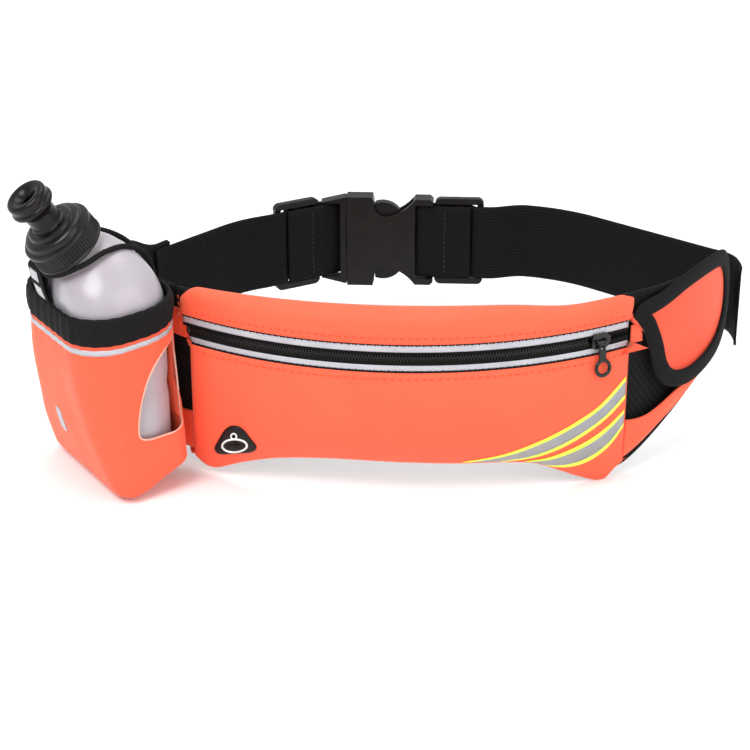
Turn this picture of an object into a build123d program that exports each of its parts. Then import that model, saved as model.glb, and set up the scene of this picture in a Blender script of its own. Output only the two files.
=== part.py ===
"""Running waist pack: a curved zipped pouch, a bottle pocket with its bottle on the left wing, an empty side
pocket on the right wing, and an elastic belt that closes with a side-release buckle behind the wearer.

Millimetres. +Z is up and the pouch faces -Y. The origin is the middle of the waist opening, level with the
middle of the belt. +X is to the right of someone who looks at the pouch.
"""
from build123d import *
import math
import os

# ---------------------------------------------------------------- driving sizes
# Fabric and webbing
panel_thick = 2.0  # neoprene-like shell fabric and padded mesh
strap_width = 50.0
strap_thick = 1.6
film_thick = 0.35  # heat-pressed reflective film
film_lift = 0.05  # gap that keeps a film's solid off the fabric under it

# Pouch: a lens in plan, between a flatter back and a rounder front, each turned about its own vertical axis
pouch_back_radius = 270.0  # middle of the back panel
pouch_width = 252.0  # chord between the end seams
pouch_mid_y = -59.0
pouch_depth = 14.0  # from the back panel to the front face at the zip, at the middle
pouch_end_depth = 6.614  # the same at the end seams
pouch_top = 46.0
pouch_end_low = -68.0  # the lower corners
pouch_rise = 21.0  # how much the lower edge arches up at the middle
pouch_belly = 4.0  # how much fuller the front is at its fullest height than at the zip
pouch_belly_z = -14.0
pouch_toe = -5.0  # the same at the lower seam

# Zip
zip_z = 21.0
zip_half_band = 8.6  # the whole band, films included, each side of the teeth
zip_film_width = 4.0
zip_tooth_half = 2.2
zip_end_margin = 6.0  # from an end seam to the end of the teeth
tape_thick = 1.0
tape_depth = 1.2  # of the tape's face behind the front face
slider_length = 11.0
slider_width = 9.0
slider_plate = 1.4
slider_gap = 0.4  # between the slider's plates and the tape
pull_pin = 0.5  # radius of the pin that the pull turns on
pull_lean = 9.0  # degrees that the fabric holds the hanging pull away from the slider's plane

# Wings: the panels between pouch and belt
wing_length = 131.0
wing_right_turn = 56.2
wing_left_turn = 101.4
wing_top = 43.0
wing_end_top = 27.0
wing_end_low = -30.0
wing_rim_height = 14.0
wing_rim_thick = 1.6
corner_turn = 59.0  # the right belt folds back round the end of its wing
corner_radius = 14.0

# Belt
buckle_y = 164.0  # line of the buckle behind the wearer
strap_right_bend_radius = 95.0
strap_left_turn = 18.8
strap_left_bend_radius = 91.0
strap_lap = 16.0  # belt sewn onto the inside of a wing
strap_gap = 2.8  # from a buckle bar's middle to the middle of either layer of belt round it

# Side-release buckle
buckle_mouth_x = -42.0
buckle_height = 62.0
buckle_thick = 11.0
buckle_wall = 2.2
buckle_collar = 17.0
buckle_body = 45.0
buckle_ladder = 12.0
buckle_waist = 17.5  # half height between the side windows
male_ladder = 17.0
bar_size = 3.0
prong_length = 36.0
bar_bite = 1.0  # how far the belt's turn is centred inside a bar's edge
prong_reach = 27.0  # half height over the prong heads
prong_root_z = 18.0
tongue_length = 30.0
tongue_half = 8.0

# Strap adjusters
adjuster_length = 32.0
adjuster_height = 60.0
adjuster_rail = 4.0
adjuster_thick = 4.6
adjuster_bar = 4.2
adjuster_right_x = 32.0
adjuster_left_gap = 5.0  # from the buckle's bar to the left adjuster

# Bottle
bottle_width = 82.0
bottle_depth = 57.0
bottle_corner = 24.0
bottle_low = -59.0
bottle_shoulder = 46.0
bottle_wall = 1.3
neck_tilt = 35.0
neck_out = 14.0  # foot of the neck, ahead of the bottle's middle
neck_foot = 70.0
neck_radius = 17.0
neck_length = 17.0
cap_radius = 21.0
cap_skirt = 13.0
cap_clearance = 0.5
cap_wall = 1.8
seal_thick = 1.2
spout_radius = 7.0
spout_length = 14.0
nozzle_radius = 12.0
nozzle_stem = 9.0
nozzle_length = 25.0
nozzle_bore = 3.2
nozzle_clearance = 0.25

# Bottle pocket
pocket_clearance = 1.0
pocket_along = 34.0  # along the wing, from the pouch's end seam to where the pocket touches it
pocket_shift = -17.0  # from there to the pocket's middle
pocket_stand_off = 0.9
pocket_low = -62.0
pocket_rim = 31.0
band_height = 13.0
band_thick = 3.0
pocket_film_z = 20.0
pocket_film_width = 3.6
window_low = -44.0
window_high = 16.0
tab_width = 15.0
tab_thick = 1.6
cord_radius = 1.5
cord_along = 2.6  # the cord's place on the neck, under the cap
cord_ring = 18.9  # from the neck's axis to the nearest part of the cord's middle

# Side pocket
side_pocket_bulge = 16.0
side_pocket_droop = 55.0
side_pocket_margin = 5.0
side_pocket_offset = 3.8
lining_thick = 0.6

# Earphone port
port_angle = -27.9
port_z = -49.0
port_size = 25.0
port_thick = 3.0
port_slit = 0.5


# Corner stripes: shares of the fan, from its upper edge to its lower one
grey_shares = ((0.09, 0.33), (0.67, 0.91))
bright_shares = ((0.0, 0.08), (0.34, 0.42), (0.58, 0.66), (0.92, 1.0))


# ---------------------------------------------------------------- plan paths
class PlanPath:
    """A run of tangent arcs and straights seen from above. It starts at the middle of the pouch's back and
    heads along +X. Its outside is on the right. Each run is (length, turn in degrees to the left)."""

    def __init__(self, runs):
        self.runs = runs

    def marks(self, start, end):
        """The places between start and end where one run meets the next, with both ends."""
        places, total = [start], 0.0
        for length, _ in self.runs:
            total += length
            if start < total < end:
                places.append(total)
        return places + [end]

    def pose(self, s):
        """x, y and heading in radians after a length s."""
        x, y, heading = 0.0, pouch_mid_y, 0.0
        for length, turn in self.runs:
            part = min(s, length)
            angle = math.radians(turn) * part / length
            if abs(angle) < 1e-9:
                x += part * math.cos(heading)
                y += part * math.sin(heading)
            else:
                radius = part / angle
                x += radius * (math.sin(heading + angle) - math.sin(heading))
                y += radius * (math.cos(heading) - math.cos(heading + angle))
            heading += angle
            s -= part
            if s <= 1e-9:
                break
        return x, y, heading

    def point(self, s, out=0.0, z=0.0):
        x, y, heading = self.pose(s)
        return Vector(x + out * math.sin(heading), y - out * math.cos(heading), z)

    def side(self, start, end, out):
        """Edges at a distance out from the path, between two lengths."""
        edges = []
        places = self.marks(start, end)
        for a, b in zip(places, places[1:]):
            p, m, q = (self.point(s, out) for s in (a, (a + b) / 2, b))
            bow = (m - (p + q) * 0.5).length
            edges.append(Line(p, q) if bow < 1e-6 else ThreePointArc(p, m, q))
        return edges

    def plane(self, s, out=0.0, z=0.0):
        """A plane whose X runs along the path, whose Z is up and whose Y points to the inside."""
        heading = math.degrees(self.pose(s)[2])
        return Plane(self.point(s, out, z)).rotated((0, 0, heading))


def wall(path, start, end, inner, outer, low, high):
    """An upright wall along a path, between two offsets and two heights."""
    edges = path.side(start, end, outer) + path.side(start, end, inner)
    for s in (start, end):
        edges.append(Line(path.point(s, inner), path.point(s, outer)))
    face = make_face(edges)
    return extrude(Pos(0, 0, low) * face, high - low, dir=(0, 0, 1))


pouch_half_angle = math.degrees(math.asin(pouch_width / 2 / pouch_back_radius))
pouch_axis_y = pouch_mid_y + pouch_back_radius
pouch_run = math.radians(pouch_half_angle) * pouch_back_radius
back_sagitta = pouch_back_radius - math.sqrt(pouch_back_radius**2 - (pouch_width / 2) ** 2)
front_sagitta = back_sagitta + pouch_depth - pouch_end_depth
pouch_front_radius = ((pouch_width / 2) ** 2 + front_sagitta**2) / (2 * front_sagitta)  # front face, at the zip
front_axis_y = pouch_mid_y - pouch_depth + pouch_front_radius
front_half_angle = math.degrees(math.asin(pouch_width / 2 / pouch_front_radius))


def closing_run(runs, bend_radius):
    """Adds the straight that brings a belt out to the buckle's line, then the bend onto that line."""
    reached = PlanPath(runs)
    _, y, heading = reached.pose(sum(length for length, _ in runs))
    left = math.pi - heading
    straight = (buckle_y - y - bend_radius * (math.cos(heading) + 1)) / math.sin(heading)
    return runs + [(straight, 0.0), (bend_radius * left, math.degrees(left))]


def landing_run(runs, turn, bend_radius, x, y):
    """Adds a straight, a bend and a straight that end on a place, and so sets the two straights' lengths."""
    bend = (bend_radius * math.radians(turn), turn)
    bent = PlanPath(runs + [bend])
    length = sum(run for run, _ in runs)
    first = bent.pose(length)[2]
    bx, by, last = bent.pose(length + bend[0])
    dx, dy = x - bx, y - by
    span = math.sin(last - first)
    a = (dx * math.sin(last) - dy * math.cos(last)) / span
    b = (dy * math.cos(first) - dx * math.sin(first)) / span
    return runs + [(a, 0.0), bend, (b, 0.0)]


female_slot = buckle_ladder - bar_size - 1.5
male_slot = male_ladder - bar_size - 4.5
female_bar_x = buckle_mouth_x + buckle_body + female_slot + bar_bite
male_bar_x = buckle_mouth_x - 4.5 - male_slot - bar_bite
right_runs = closing_run(
    [
        (pouch_run, pouch_half_angle),
        (wing_length, wing_right_turn),
        (corner_radius * math.radians(corner_turn), corner_turn),
    ],
    strap_right_bend_radius,
)
left_runs = landing_run(
    [(pouch_run, pouch_half_angle), (wing_length, wing_left_turn)],
    strap_left_turn,
    strap_left_bend_radius,
    -male_bar_x,
    buckle_y,
)
right_bend_x = PlanPath(right_runs).pose(sum(length for length, _ in right_runs))[0]
right = PlanPath(right_runs + [(right_bend_x - female_bar_x, 0.0)])
left = PlanPath(left_runs)
right_total = sum(length for length, _ in right.runs)
left_total = sum(length for length, _ in left.runs)


def to_left(shape):
    """The left side is worked out as a right side, and mirrored."""
    return mirror(shape, about=Plane.YZ)


# ---------------------------------------------------------------- pouch
def turned(face, axis_y, half_angle):
    """Turns a face drawn as (distance from an upright axis at x = 0, height) to either side of the middle."""
    upright = Plane(origin=(0, axis_y, 0), x_dir=(0, -1, 0), z_dir=(-1, 0, 0))
    axis = Axis((0, axis_y, 0), (0, 0, 1))
    return revolve(upright.from_local_coords(face).rotate(axis, -half_angle), axis, 2 * half_angle)


def ring_block(inner, outer, low, high, half_angle, axis_y=pouch_axis_y):
    face = Pos((inner + outer) / 2, (low + high) / 2) * Rectangle(outer - inner, high - low)
    return turned(face, axis_y, half_angle)


def front_block(inner, outer, low, high, half_angle=front_half_angle):
    """A block of ring about the front's axis, given by its distances ahead of the front face at the zip."""
    face = pouch_front_radius
    return ring_block(face + inner, face + outer, low, high, half_angle, front_axis_y)


def arch_cut(raise_by=0.0):
    """What is cut off below to arch the pouch's lower edge."""
    half = pouch_width / 2 - 8.0
    radius = (half**2 + pouch_rise**2) / (2 * pouch_rise)
    centre_z = pouch_end_low + pouch_rise - radius
    drum = Cylinder(radius + raise_by, 2 * pouch_width, rotation=(90, 0, 0))
    return Pos(0, pouch_mid_y, centre_z) * drum


def lower_front(lift):
    """The curve of the front from the zip down to the lower seam, as (distance from the axis, height)."""
    radius = pouch_front_radius + lift
    return ThreePointArc(
        (radius, zip_z - zip_half_band), (radius + pouch_belly, pouch_belly_z), (radius + pouch_toe, pouch_end_low)
    )


def front_profile(inset):
    """Cross-section of everything behind the front, drawn in by inset. Its back is cut off afterwards."""
    behind = pouch_front_radius - 3 * pouch_depth
    face = pouch_front_radius - inset
    high, low = pouch_top - inset, pouch_end_low + inset
    zip_high = zip_z + zip_half_band
    crown = (face - 0.7 * pouch_depth, high)
    lower = lower_front(-inset) & Pos(0, high / 2 + low / 2) * Rectangle(900, high - low)
    toe = lower.edges()[0] @ 1
    edges = [
        Line((behind, low), (behind, high)),
        Line((behind, high), crown),
        ThreePointArc(crown, (face - 2.4, (high + zip_high) / 2 + 3.0), (face, zip_high)),
        Line((face, zip_high), lower.edges()[0] @ 0),
        lower.edges()[0],
        Line(toe, (behind, low)),
    ]
    return make_face(edges)


def pouch_shells():
    """The back, front and top panels."""
    end_wall = math.degrees(panel_thick / pouch_front_radius)
    back_face = pouch_back_radius + panel_thick / 2
    drum = Pos(0, pouch_axis_y, 0) * Cylinder(back_face + film_lift, 4 * pouch_top + 100)
    body = turned(front_profile(0.0), front_axis_y, front_half_angle) - arch_cut()
    hollow = turned(front_profile(panel_thick), front_axis_y, front_half_angle - end_wall)
    shell = body - drum - (hollow - arch_cut(panel_thick))
    back = ring_block(
        back_face - panel_thick, back_face, pouch_end_low, pouch_top, pouch_half_angle
    ) - arch_cut()
    gap = front_block(
        -3 * pouch_depth, 20, zip_z - zip_half_band, zip_z + zip_half_band, front_half_angle - end_wall
    )
    upper = front_block(-3 * pouch_depth, 20, zip_z, pouch_top + 5, front_half_angle + 1)
    return back, shell - gap - upper, (shell - gap) & upper


def zip_band():
    """Tapes, films and the closed rows of teeth, each as part of a ring."""
    reach = front_half_angle - math.degrees((panel_thick + 0.5) / pouch_front_radius)
    tooth_reach = reach - math.degrees(zip_end_margin / pouch_front_radius)
    edge = zip_half_band - 0.1
    pieces = {}
    for name, sign in (("upper", 1), ("lower", -1)):
        low, high = sorted((zip_z + sign * zip_tooth_half, zip_z + sign * edge))
        pieces[f"zip_tape_{name}"] = front_block(-tape_depth - tape_thick, -tape_depth, low, high, reach)
        low, high = sorted((zip_z + sign * (edge - zip_film_width), zip_z + sign * edge))
        film = film_lift - tape_depth
        pieces[f"zip_reflective_{name}"] = front_block(film, film + film_thick, low, high, reach)
    rest_angle = tooth_reach - math.degrees(slider_length / 2 / pouch_front_radius)
    stop_angle = rest_angle - math.degrees((slider_length / 2 + 1.0) / pouch_front_radius)
    tooth = zip_tooth_half - 0.3
    inner, outer = -tape_depth - tape_thick - slider_gap + 0.1, 0.6 - tape_depth
    teeth = front_block(inner, outer, zip_z - tooth, zip_z + tooth, tooth_reach)
    room = front_block(inner - 5, outer + 5, zip_z - 5, zip_z + 5, tooth_reach + 2)
    room -= front_block(inner - 6, outer + 6, zip_z - 6, zip_z + 6, stop_angle)
    room &= Pos(pouch_width / 2, 0, zip_z) * Box(pouch_width, 2 * pouch_width, 20)
    pieces["zip_teeth"] = teeth - room
    return pieces, rest_angle


def pouch_plane(angle, ahead, z):
    """A plane on the pouch's front, at an angle from its middle: X to the right, Y up, Z outwards."""
    turn = math.radians(angle)
    outwards = Vector(math.sin(turn), -math.cos(turn), 0)
    origin = Vector(0, front_axis_y, z) + outwards * (pouch_front_radius + ahead)
    return Plane(origin=origin, x_dir=(math.cos(turn), math.sin(turn), 0), z_dir=outwards)


def zip_slider_parts(rest_angle):
    """The slider, with its two plates, post and lugs, and the pull whose pin turns in the lugs."""
    seat = pouch_plane(rest_angle, -tape_depth, zip_z)
    outside = slider_gap + 0.4
    inside = -tape_thick - slider_gap
    plate = fillet(Rectangle(slider_length, slider_width).vertices(), 2.6)
    body = extrude(Pos(0, 0, outside) * plate, slider_plate)
    body += extrude(Pos(0, 0, inside - slider_plate) * plate, slider_plate)
    post_height = outside - inside + 2 * slider_plate
    body += Pos(slider_length / 2 - 2.0, 0, (outside + inside) / 2) * Box(2.4, 2.4, post_height)
    hinge = Vector(0, 0, outside + slider_plate + 1.0)
    across = Rot(0, 90, 0)
    for side in (-1, 1):
        body += Pos(hinge + Vector(2.9 * side, 0, -0.6)) * Box(1.2, 2.6, 1.8)
        body += Pos(hinge + Vector(2.9 * side, 0, 0)) * across * Cylinder(1.3, 1.2)
    body -= Pos(hinge) * across * Cylinder(pull_pin + 0.15, 10)
    pin = across * (Cylinder(0.8, 4.2) + Cylinder(pull_pin, 6.8))
    link = Pos(0, -6.0, 0) * extrude(SlotOverall(11.4, 4.2, rotation=90), 0.7, both=True)
    eye = Pos(0, -3.4, 0) * Box(2.2, 2.6, 3)
    pull = link - eye - across * Cylinder(0.8, 10) + pin + Pos(0, -15.4, 0) * Torus(4.4, 1.1)
    return seat.from_local_coords(body), seat.from_local_coords(Pos(hinge) * Rot(-pull_lean, 0, 0) * pull)


def port_outline():
    """The rounded triangle of the cable port."""
    half, tall = port_size / 2, port_size * 0.74
    corners = [(-half, -tall / 2), (half, -tall / 2), (0, tall / 2 + 2.5)]
    tri = make_face(Polyline(*corners, close=True))
    return fillet(tri.vertices(), 5.0)


def front_swell(z):
    """How far the front face at a height below the zip is ahead of the front face at the zip."""
    arc = lower_front(0.0)
    return arc.arc_center.X + math.sqrt(arc.radius**2 - (z - arc.arc_center.Y) ** 2) - pouch_front_radius


def port_parts():
    """The rubber port with its crossed slit, the white ring on it, and the hole that it fills."""
    lean = math.degrees(math.atan2(front_swell(port_z + 5) - front_swell(port_z - 5), 10))
    seat = pouch_plane(port_angle, front_swell(port_z) - 1.6, port_z).rotated((lean, 0, 0))
    patch = extrude(port_outline(), port_thick)
    patch = fillet(patch.faces().sort_by(Axis.Z)[-1].edges(), 0.8)
    patch -= Pos(0, -1.4, port_thick) * extrude(Ellipse(5.6, 3.9), -1.2)
    slit = Box(8.0, port_slit, 4 * port_thick) + Box(port_slit, 5.4, 4 * port_thick)
    patch -= Pos(0, -1.4, 0) * slit
    ring = extrude(Ellipse(7.2, 5.4) - Ellipse(6.1, 4.4), film_thick)
    ring = Pos(0, -1.4, port_thick + film_lift) * ring
    hole = Pos(0, 0, -2 * port_thick) * extrude(offset(port_outline(), 0.15), 6 * port_thick)
    return tuple(seat.from_local_coords(shape) for shape in (patch, ring, hole))


def stripe_layer():
    """A thin layer on the pouch's lower front, from which the corner films are cut."""
    inner, outer = lower_front(film_lift), lower_front(film_lift + film_thick)
    edges = [inner, outer, Line(inner @ 0, outer @ 0), Line(inner @ 1, outer @ 1)]
    return turned(make_face(edges), front_axis_y, front_half_angle - 0.3) - arch_cut(0.6)


def stripe_line(share):
    """One of a fan of arcs seen from the front, from the lower edge up to the right end."""
    start = (30 + 48 * share, -52 - 10 * share)
    bend = (92 + 8 * share, -39 - 22 * share)
    return ThreePointArc(start, bend, (pouch_width / 2 + 4, -16 - 31 * share))


def stripe_band(layer, shares):
    upper, lower = (stripe_line(share) for share in shares)
    edges = [upper, lower, Line(upper @ 0, lower @ 0), Line(upper @ 1, lower @ 1)]
    front = Plane(origin=(0, pouch_mid_y, 0), x_dir=(1, 0, 0), z_dir=(0, -1, 0))
    return layer & extrude(front.from_local_coords(make_face(edges)), pouch_width / 2, both=True)


def stripes(bands):
    layer = stripe_layer()
    return Compound(children=[s for shares in bands for s in stripe_band(layer, shares).solids()])


# ---------------------------------------------------------------- wings and belt
def wing_side(path, outline):
    """An outline drawn as (distance along the wing's chord, height), cut square through the wing."""
    x0, y0, _ = path.pose(pouch_run)
    x1, y1, _ = path.pose(pouch_run + wing_length)
    chord = Vector(x1 - x0, y1 - y0, 0)
    view = Plane(origin=(x0, y0, 0), x_dir=chord, z_dir=Vector(chord.Y, -chord.X, 0))
    face = make_face(Polyline(*outline, close=True))
    return extrude(view.from_local_coords(face), wing_length, both=True), chord.length


def wing_shape(path, grow=0.0):
    """The wing's outline: full height beside the pouch, tapering to the belt."""
    span = wing_side(path, [(0, 0), (1, 0), (0, 1)])[1]
    low, high = pouch_end_low + 1 - grow, wing_top
    knee = 0.62 * span
    outline = [(-20, low), (4, low), (span + 4, wing_end_low - grow), (span + 60, wing_end_low - grow)]
    outline += [(span + 60, wing_end_top), (span - 8, wing_end_top), (knee, high), (-20, high)]
    return wing_side(path, outline)[0]


def wing(path):
    """The mesh panel, the binding on its lower edge, and the elastic rim along its top."""
    start, end = pouch_run + 1.2, pouch_run + wing_length
    half = panel_thick / 2
    low, high = pouch_end_low - 10, wing_top + 10
    panel = wall(path, start, end, -half, half, low, high) & wing_shape(path)
    edge = wall(path, start, end, -half - 0.7, half + 0.7, low, 0)
    edge = edge & (wing_shape(path, 2.6) - wing_shape(path, 0.1))
    return panel, edge


def wing_rim(path):
    knee = pouch_run + 0.55 * wing_length
    face = panel_thick / 2 + film_lift
    return wall(path, pouch_run + 6, knee, face, face + wing_rim_thick, wing_top - wing_rim_height, wing_top)


def strap(path, end):
    """The belt, sewn onto the inside of its wing and running to the bar of its buckle half."""
    start = pouch_run + wing_length - strap_lap
    half = strap_thick / 2
    return wall(path, start, end, -strap_gap - half, -strap_gap + half, -strap_width / 2, strap_width / 2)


def strap_return(path, end, adjuster_at):
    """The belt's turn round that bar and its way back to the adjuster."""
    half, tall = strap_thick / 2, strap_width / 2
    back = wall(path, adjuster_at - 1, end, strap_gap - half, strap_gap + half, -tall, tall)
    ring = Cylinder(strap_gap + half, strap_width) - Cylinder(strap_gap - half, strap_width)
    turn = path.plane(end).from_local_coords(ring & (Pos(20, 0, 0) * Box(40, 40, strap_width)))
    return back + turn


def adjuster():
    """The three-bar slide, lying along X with Y through it."""
    frame = fillet(Rectangle(adjuster_length, adjuster_height).vertices(), 4.0)
    slot_height = adjuster_height - 2 * adjuster_rail
    slot = (adjuster_length - 3 * adjuster_bar) / 2
    for sign in (1, -1):
        hole = fillet(Rectangle(slot, slot_height).vertices(), 1.0)
        frame -= Pos(sign * (slot + adjuster_bar) / 2, 0) * hole
    body = upright(frame, adjuster_thick)
    bar_half = strap_gap - strap_thick / 2 - 0.5
    for sign in (1, -1):
        body -= Pos(0, sign * (bar_half + 5), 0) * Box(adjuster_length + 2, 10, slot_height)
    return body


def buckle_outline():
    """The female half from the front: collar, arched side windows, and ladder."""
    high = buckle_height / 2
    top = [
        Line((0, high), (buckle_collar, high)),
        Line((buckle_collar, high), (buckle_collar + 1.0, high - 4)),
        ThreePointArc(
            (buckle_collar + 1.0, high - 4),
            (buckle_collar + 3.2, buckle_waist + 2.6),
            (buckle_collar + 8.0, buckle_waist),
        ),
        ThreePointArc(
            (buckle_collar + 8.0, buckle_waist),
            (buckle_body - 8.0, buckle_waist + 4.6),
            (buckle_body, high - 1.0),
        ),
        Line((buckle_body, high - 1.0), (buckle_body + buckle_ladder - 2, high - 1.0)),
        Line((buckle_body + buckle_ladder - 2, high - 1.0), (buckle_body + buckle_ladder, high - 3.0)),
    ]
    bottom = [mirror(e, about=Plane.XZ) for e in top]
    ends = [
        Line((0, high), (0, -high)),
        Line((buckle_body + buckle_ladder, high - 3.0), (buckle_body + buckle_ladder, 3.0 - high)),
    ]
    return make_face(top + bottom + ends)


def upright(face, depth):
    """A face drawn as (x, height), made solid through its thickness along Y."""
    return extrude(Plane.XZ.from_local_coords(face), depth / 2, both=True)


def buckle_female():
    body = upright(buckle_outline(), buckle_thick)
    inner_y = buckle_thick - 2 * buckle_wall
    cavity_half = prong_reach - 2.7
    body -= Pos(buckle_body / 2 - 1, 0, 0) * Box(buckle_body + 2, inner_y, 2 * cavity_half)
    room = Pos((buckle_collar + buckle_body) / 2 + 0.5, 0, 0) * Box(
        buckle_body - buckle_collar - 3, inner_y, buckle_height + 10
    )
    body -= room
    slot = female_slot
    body -= Pos(buckle_body + slot / 2, 0, 0) * Box(slot, buckle_thick + 2, strap_width + 2)
    return thin_bar(body, buckle_body + buckle_ladder)


def thin_bar(body, bar_x):
    """Thins the bar at the end of a ladder, so that the belt's two layers pass over it."""
    for sign in (1, -1):
        body -= Pos(bar_x, sign * (bar_size / 3 + 5), 0) * Box(2 * bar_size + 4, 10, strap_width + 2)
    return body


def buckle_male():
    high = buckle_height / 2
    outline = [(-male_ladder, high - 4.5), (-2.0, high - 0.8), (-0.3, high - 0.8)]
    face = make_face(Polyline(*outline, *[(x, -z) for x, z in reversed(outline)], close=True))
    body = upright(face, buckle_thick - 2.5)
    body -= Pos(-4.5 - male_slot / 2, 0, 0) * Box(male_slot, buckle_thick, strap_width + 2)
    body = thin_bar(body, -male_ladder)
    thick = buckle_thick - 2 * buckle_wall - 0.8
    tongue = Pos(tongue_length / 2 - 1, 0, 0) * Box(tongue_length + 2, thick, 2 * tongue_half)
    return body + tongue


def prong():
    """The upper prong: a springy arm with a rounded head that fills the side window."""
    thick = buckle_thick - 2 * buckle_wall - 0.8
    root = prong_root_z
    head = buckle_collar + 1.6
    edges = [
        Line((0.2, root - 2), (0.2, root + 2)),
        Line((0.2, root + 2), (head, root + 2.6)),
        Line((head, root + 2.6), (head, prong_reach - 1)),
        ThreePointArc((head, prong_reach - 1), (head + 9, prong_reach - 0.6), (prong_length, root + 1.5)),
        ThreePointArc((prong_length, root + 1.5), (head + 8, root - 1.2), (head, root - 1.6)),
        Line((head, root - 1.6), (0.2, root - 2)),
    ]
    return upright(make_face(edges), thick)


# ---------------------------------------------------------------- bottle and its pocket
pocket_outer_depth = bottle_depth + 2 * (pocket_clearance + panel_thick)


def pocket_frame():
    """X along the wing, Y towards the wearer, with its origin in the middle of the bottle. Mirrored later."""
    out = panel_thick / 2 + pocket_stand_off + pocket_outer_depth / 2
    seat = left.plane(pouch_run + pocket_along, out)
    return Plane(seat.origin + seat.x_dir * pocket_shift, x_dir=seat.x_dir, z_dir=seat.z_dir)


def rounded(width, depth, corner):
    return fillet(Rectangle(width, depth).vertices(), corner)


def neck_plane(along=0.0):
    """A plane across the bottle's neck, whose axis leans away from the wearer."""
    lean = math.radians(neck_tilt)
    axis = Vector(0, -math.sin(lean), math.cos(lean))
    return Plane(origin=Vector(0, -neck_out, neck_foot) + axis * along, x_dir=(1, 0, 0), z_dir=axis)


def tilted(shape):
    """Puts a shape drawn about Z on the bottle's neck."""
    return neck_plane().from_local_coords(shape)


def bottle_solid(inset):
    section = rounded(bottle_width - 2 * inset, bottle_depth - 2 * inset, bottle_corner - inset)
    body = extrude(Pos(0, 0, bottle_low + inset) * section, bottle_shoulder - bottle_low - inset)
    collar = tilted(Circle(neck_radius - inset))
    shoulder = loft([Pos(0, 0, bottle_shoulder) * section, collar])
    neck = tilted(extrude(Circle(neck_radius - inset), neck_length + (2 if inset else 0)))
    return body + shoulder + neck


def bottle_parts():
    shell = bottle_solid(0.0) - bottle_solid(bottle_wall)
    bore = neck_radius + cap_clearance
    top = neck_length + cap_clearance
    skirt_low = top + seal_thick + 0.2 - cap_skirt
    roof = top + seal_thick + 0.2
    cap = Pos(0, 0, skirt_low) * extrude(Circle(cap_radius), cap_skirt)
    for k in range(48):
        groove = Pos(cap_radius, 0, skirt_low + cap_skirt / 2 - 1) * Cylinder(0.5, cap_skirt - 2.5)
        cap -= Rot(0, 0, k * 7.5) * groove
    step = Pos(0, 0, roof) * extrude(Circle(cap_radius - 2.2), cap_wall + 1.2)
    ledge = Pos(0, 0, roof + cap_wall + 1.2) * extrude(Circle(cap_radius - 6.0), 2.2)
    spout = Pos(0, 0, roof) * extrude(Circle(spout_radius), cap_wall + spout_length)
    cap = cap + step + ledge + spout
    cap -= Pos(0, 0, skirt_low - 1) * extrude(Circle(bore), roof - skirt_low + 1)
    cap -= Pos(0, 0, roof - 1) * extrude(Circle(nozzle_bore), 40)
    seal = Pos(0, 0, top) * extrude(Circle(neck_radius - 0.5) - Circle(nozzle_bore + 1), seal_thick)
    base = roof + cap_wall + 4.0
    stem = Pos(0, 0, base) * extrude(Circle(nozzle_stem), nozzle_length)
    head = Pos(0, 0, base + nozzle_length - 8.5) * extrude(Circle(nozzle_radius), 8.5)
    head = fillet(head.edges(), 3.2)
    nozzle = stem + head
    inner = spout_radius + nozzle_clearance
    nozzle -= Pos(0, 0, base - 1) * extrude(Circle(inner), spout_length - 1.2)
    nozzle -= Pos(0, 0, base) * extrude(Circle(nozzle_bore), nozzle_length + 1)
    return shell, tilted(cap), tilted(seal), tilted(nozzle)


def pocket_sleeve(low, high, wall_out, wall_in=0.0):
    """A ring of the pocket's section between two heights, from wall_in to wall_out outside the bottle's room."""
    width = bottle_width + 2 * pocket_clearance
    depth = bottle_depth + 2 * pocket_clearance
    corner = bottle_corner + pocket_clearance
    outer = rounded(width + 2 * wall_out, depth + 2 * wall_out, corner + wall_out)
    inner = rounded(width + 2 * wall_in, depth + 2 * wall_in, corner + wall_in)
    return extrude(Pos(0, 0, low) * (outer - inner), high - low)


def window_cutter():
    """The half-moon window in the pocket's side that faces the pouch."""
    middle = (window_low + window_high) / 2
    tall = (window_high - window_low) / 2
    face = Pos(2.0, middle) * Ellipse(24.0, tall)
    face &= Pos(14.0, middle) * Rectangle(60, 2 * tall)
    return Plane(origin=(-20, 0, 0), x_dir=(0, 1, 0), z_dir=(-1, 0, 0)).from_local_coords(face)


def pocket_parts():
    width = bottle_width + 2 * pocket_clearance
    depth = bottle_depth + 2 * pocket_clearance
    shell = pocket_sleeve(pocket_low, pocket_rim, panel_thick)
    floor = rounded(width, depth, bottle_corner + pocket_clearance)
    shell += extrude(Pos(0, 0, pocket_low) * floor, panel_thick)
    shell -= extrude(window_cutter(), 60)
    band = pocket_sleeve(pocket_rim + 0.1, pocket_rim + band_height, band_thick)
    back_face = depth / 2 + panel_thick + 0.2
    trim = Pos(0, back_face + 5, 0) * Box(2 * width, 10, 400)
    band -= trim
    lift = panel_thick + film_lift
    film_top = pocket_film_z + pocket_film_width
    film = pocket_sleeve(pocket_film_z, film_top, lift + film_thick, lift)
    film -= Pos(0, back_face + 2, 0) * Box(2 * width, 10, 400)
    badge = extrude(SlotOverall(17, 5.0, rotation=90), film_thick)
    face_y = -(depth / 2 + panel_thick + film_lift)
    front = Plane(origin=(9, face_y, -20), x_dir=(1, 0, 0), z_dir=(0, -1, 0))
    badge = front.from_local_coords(badge)
    return shell, band, film, badge


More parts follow.
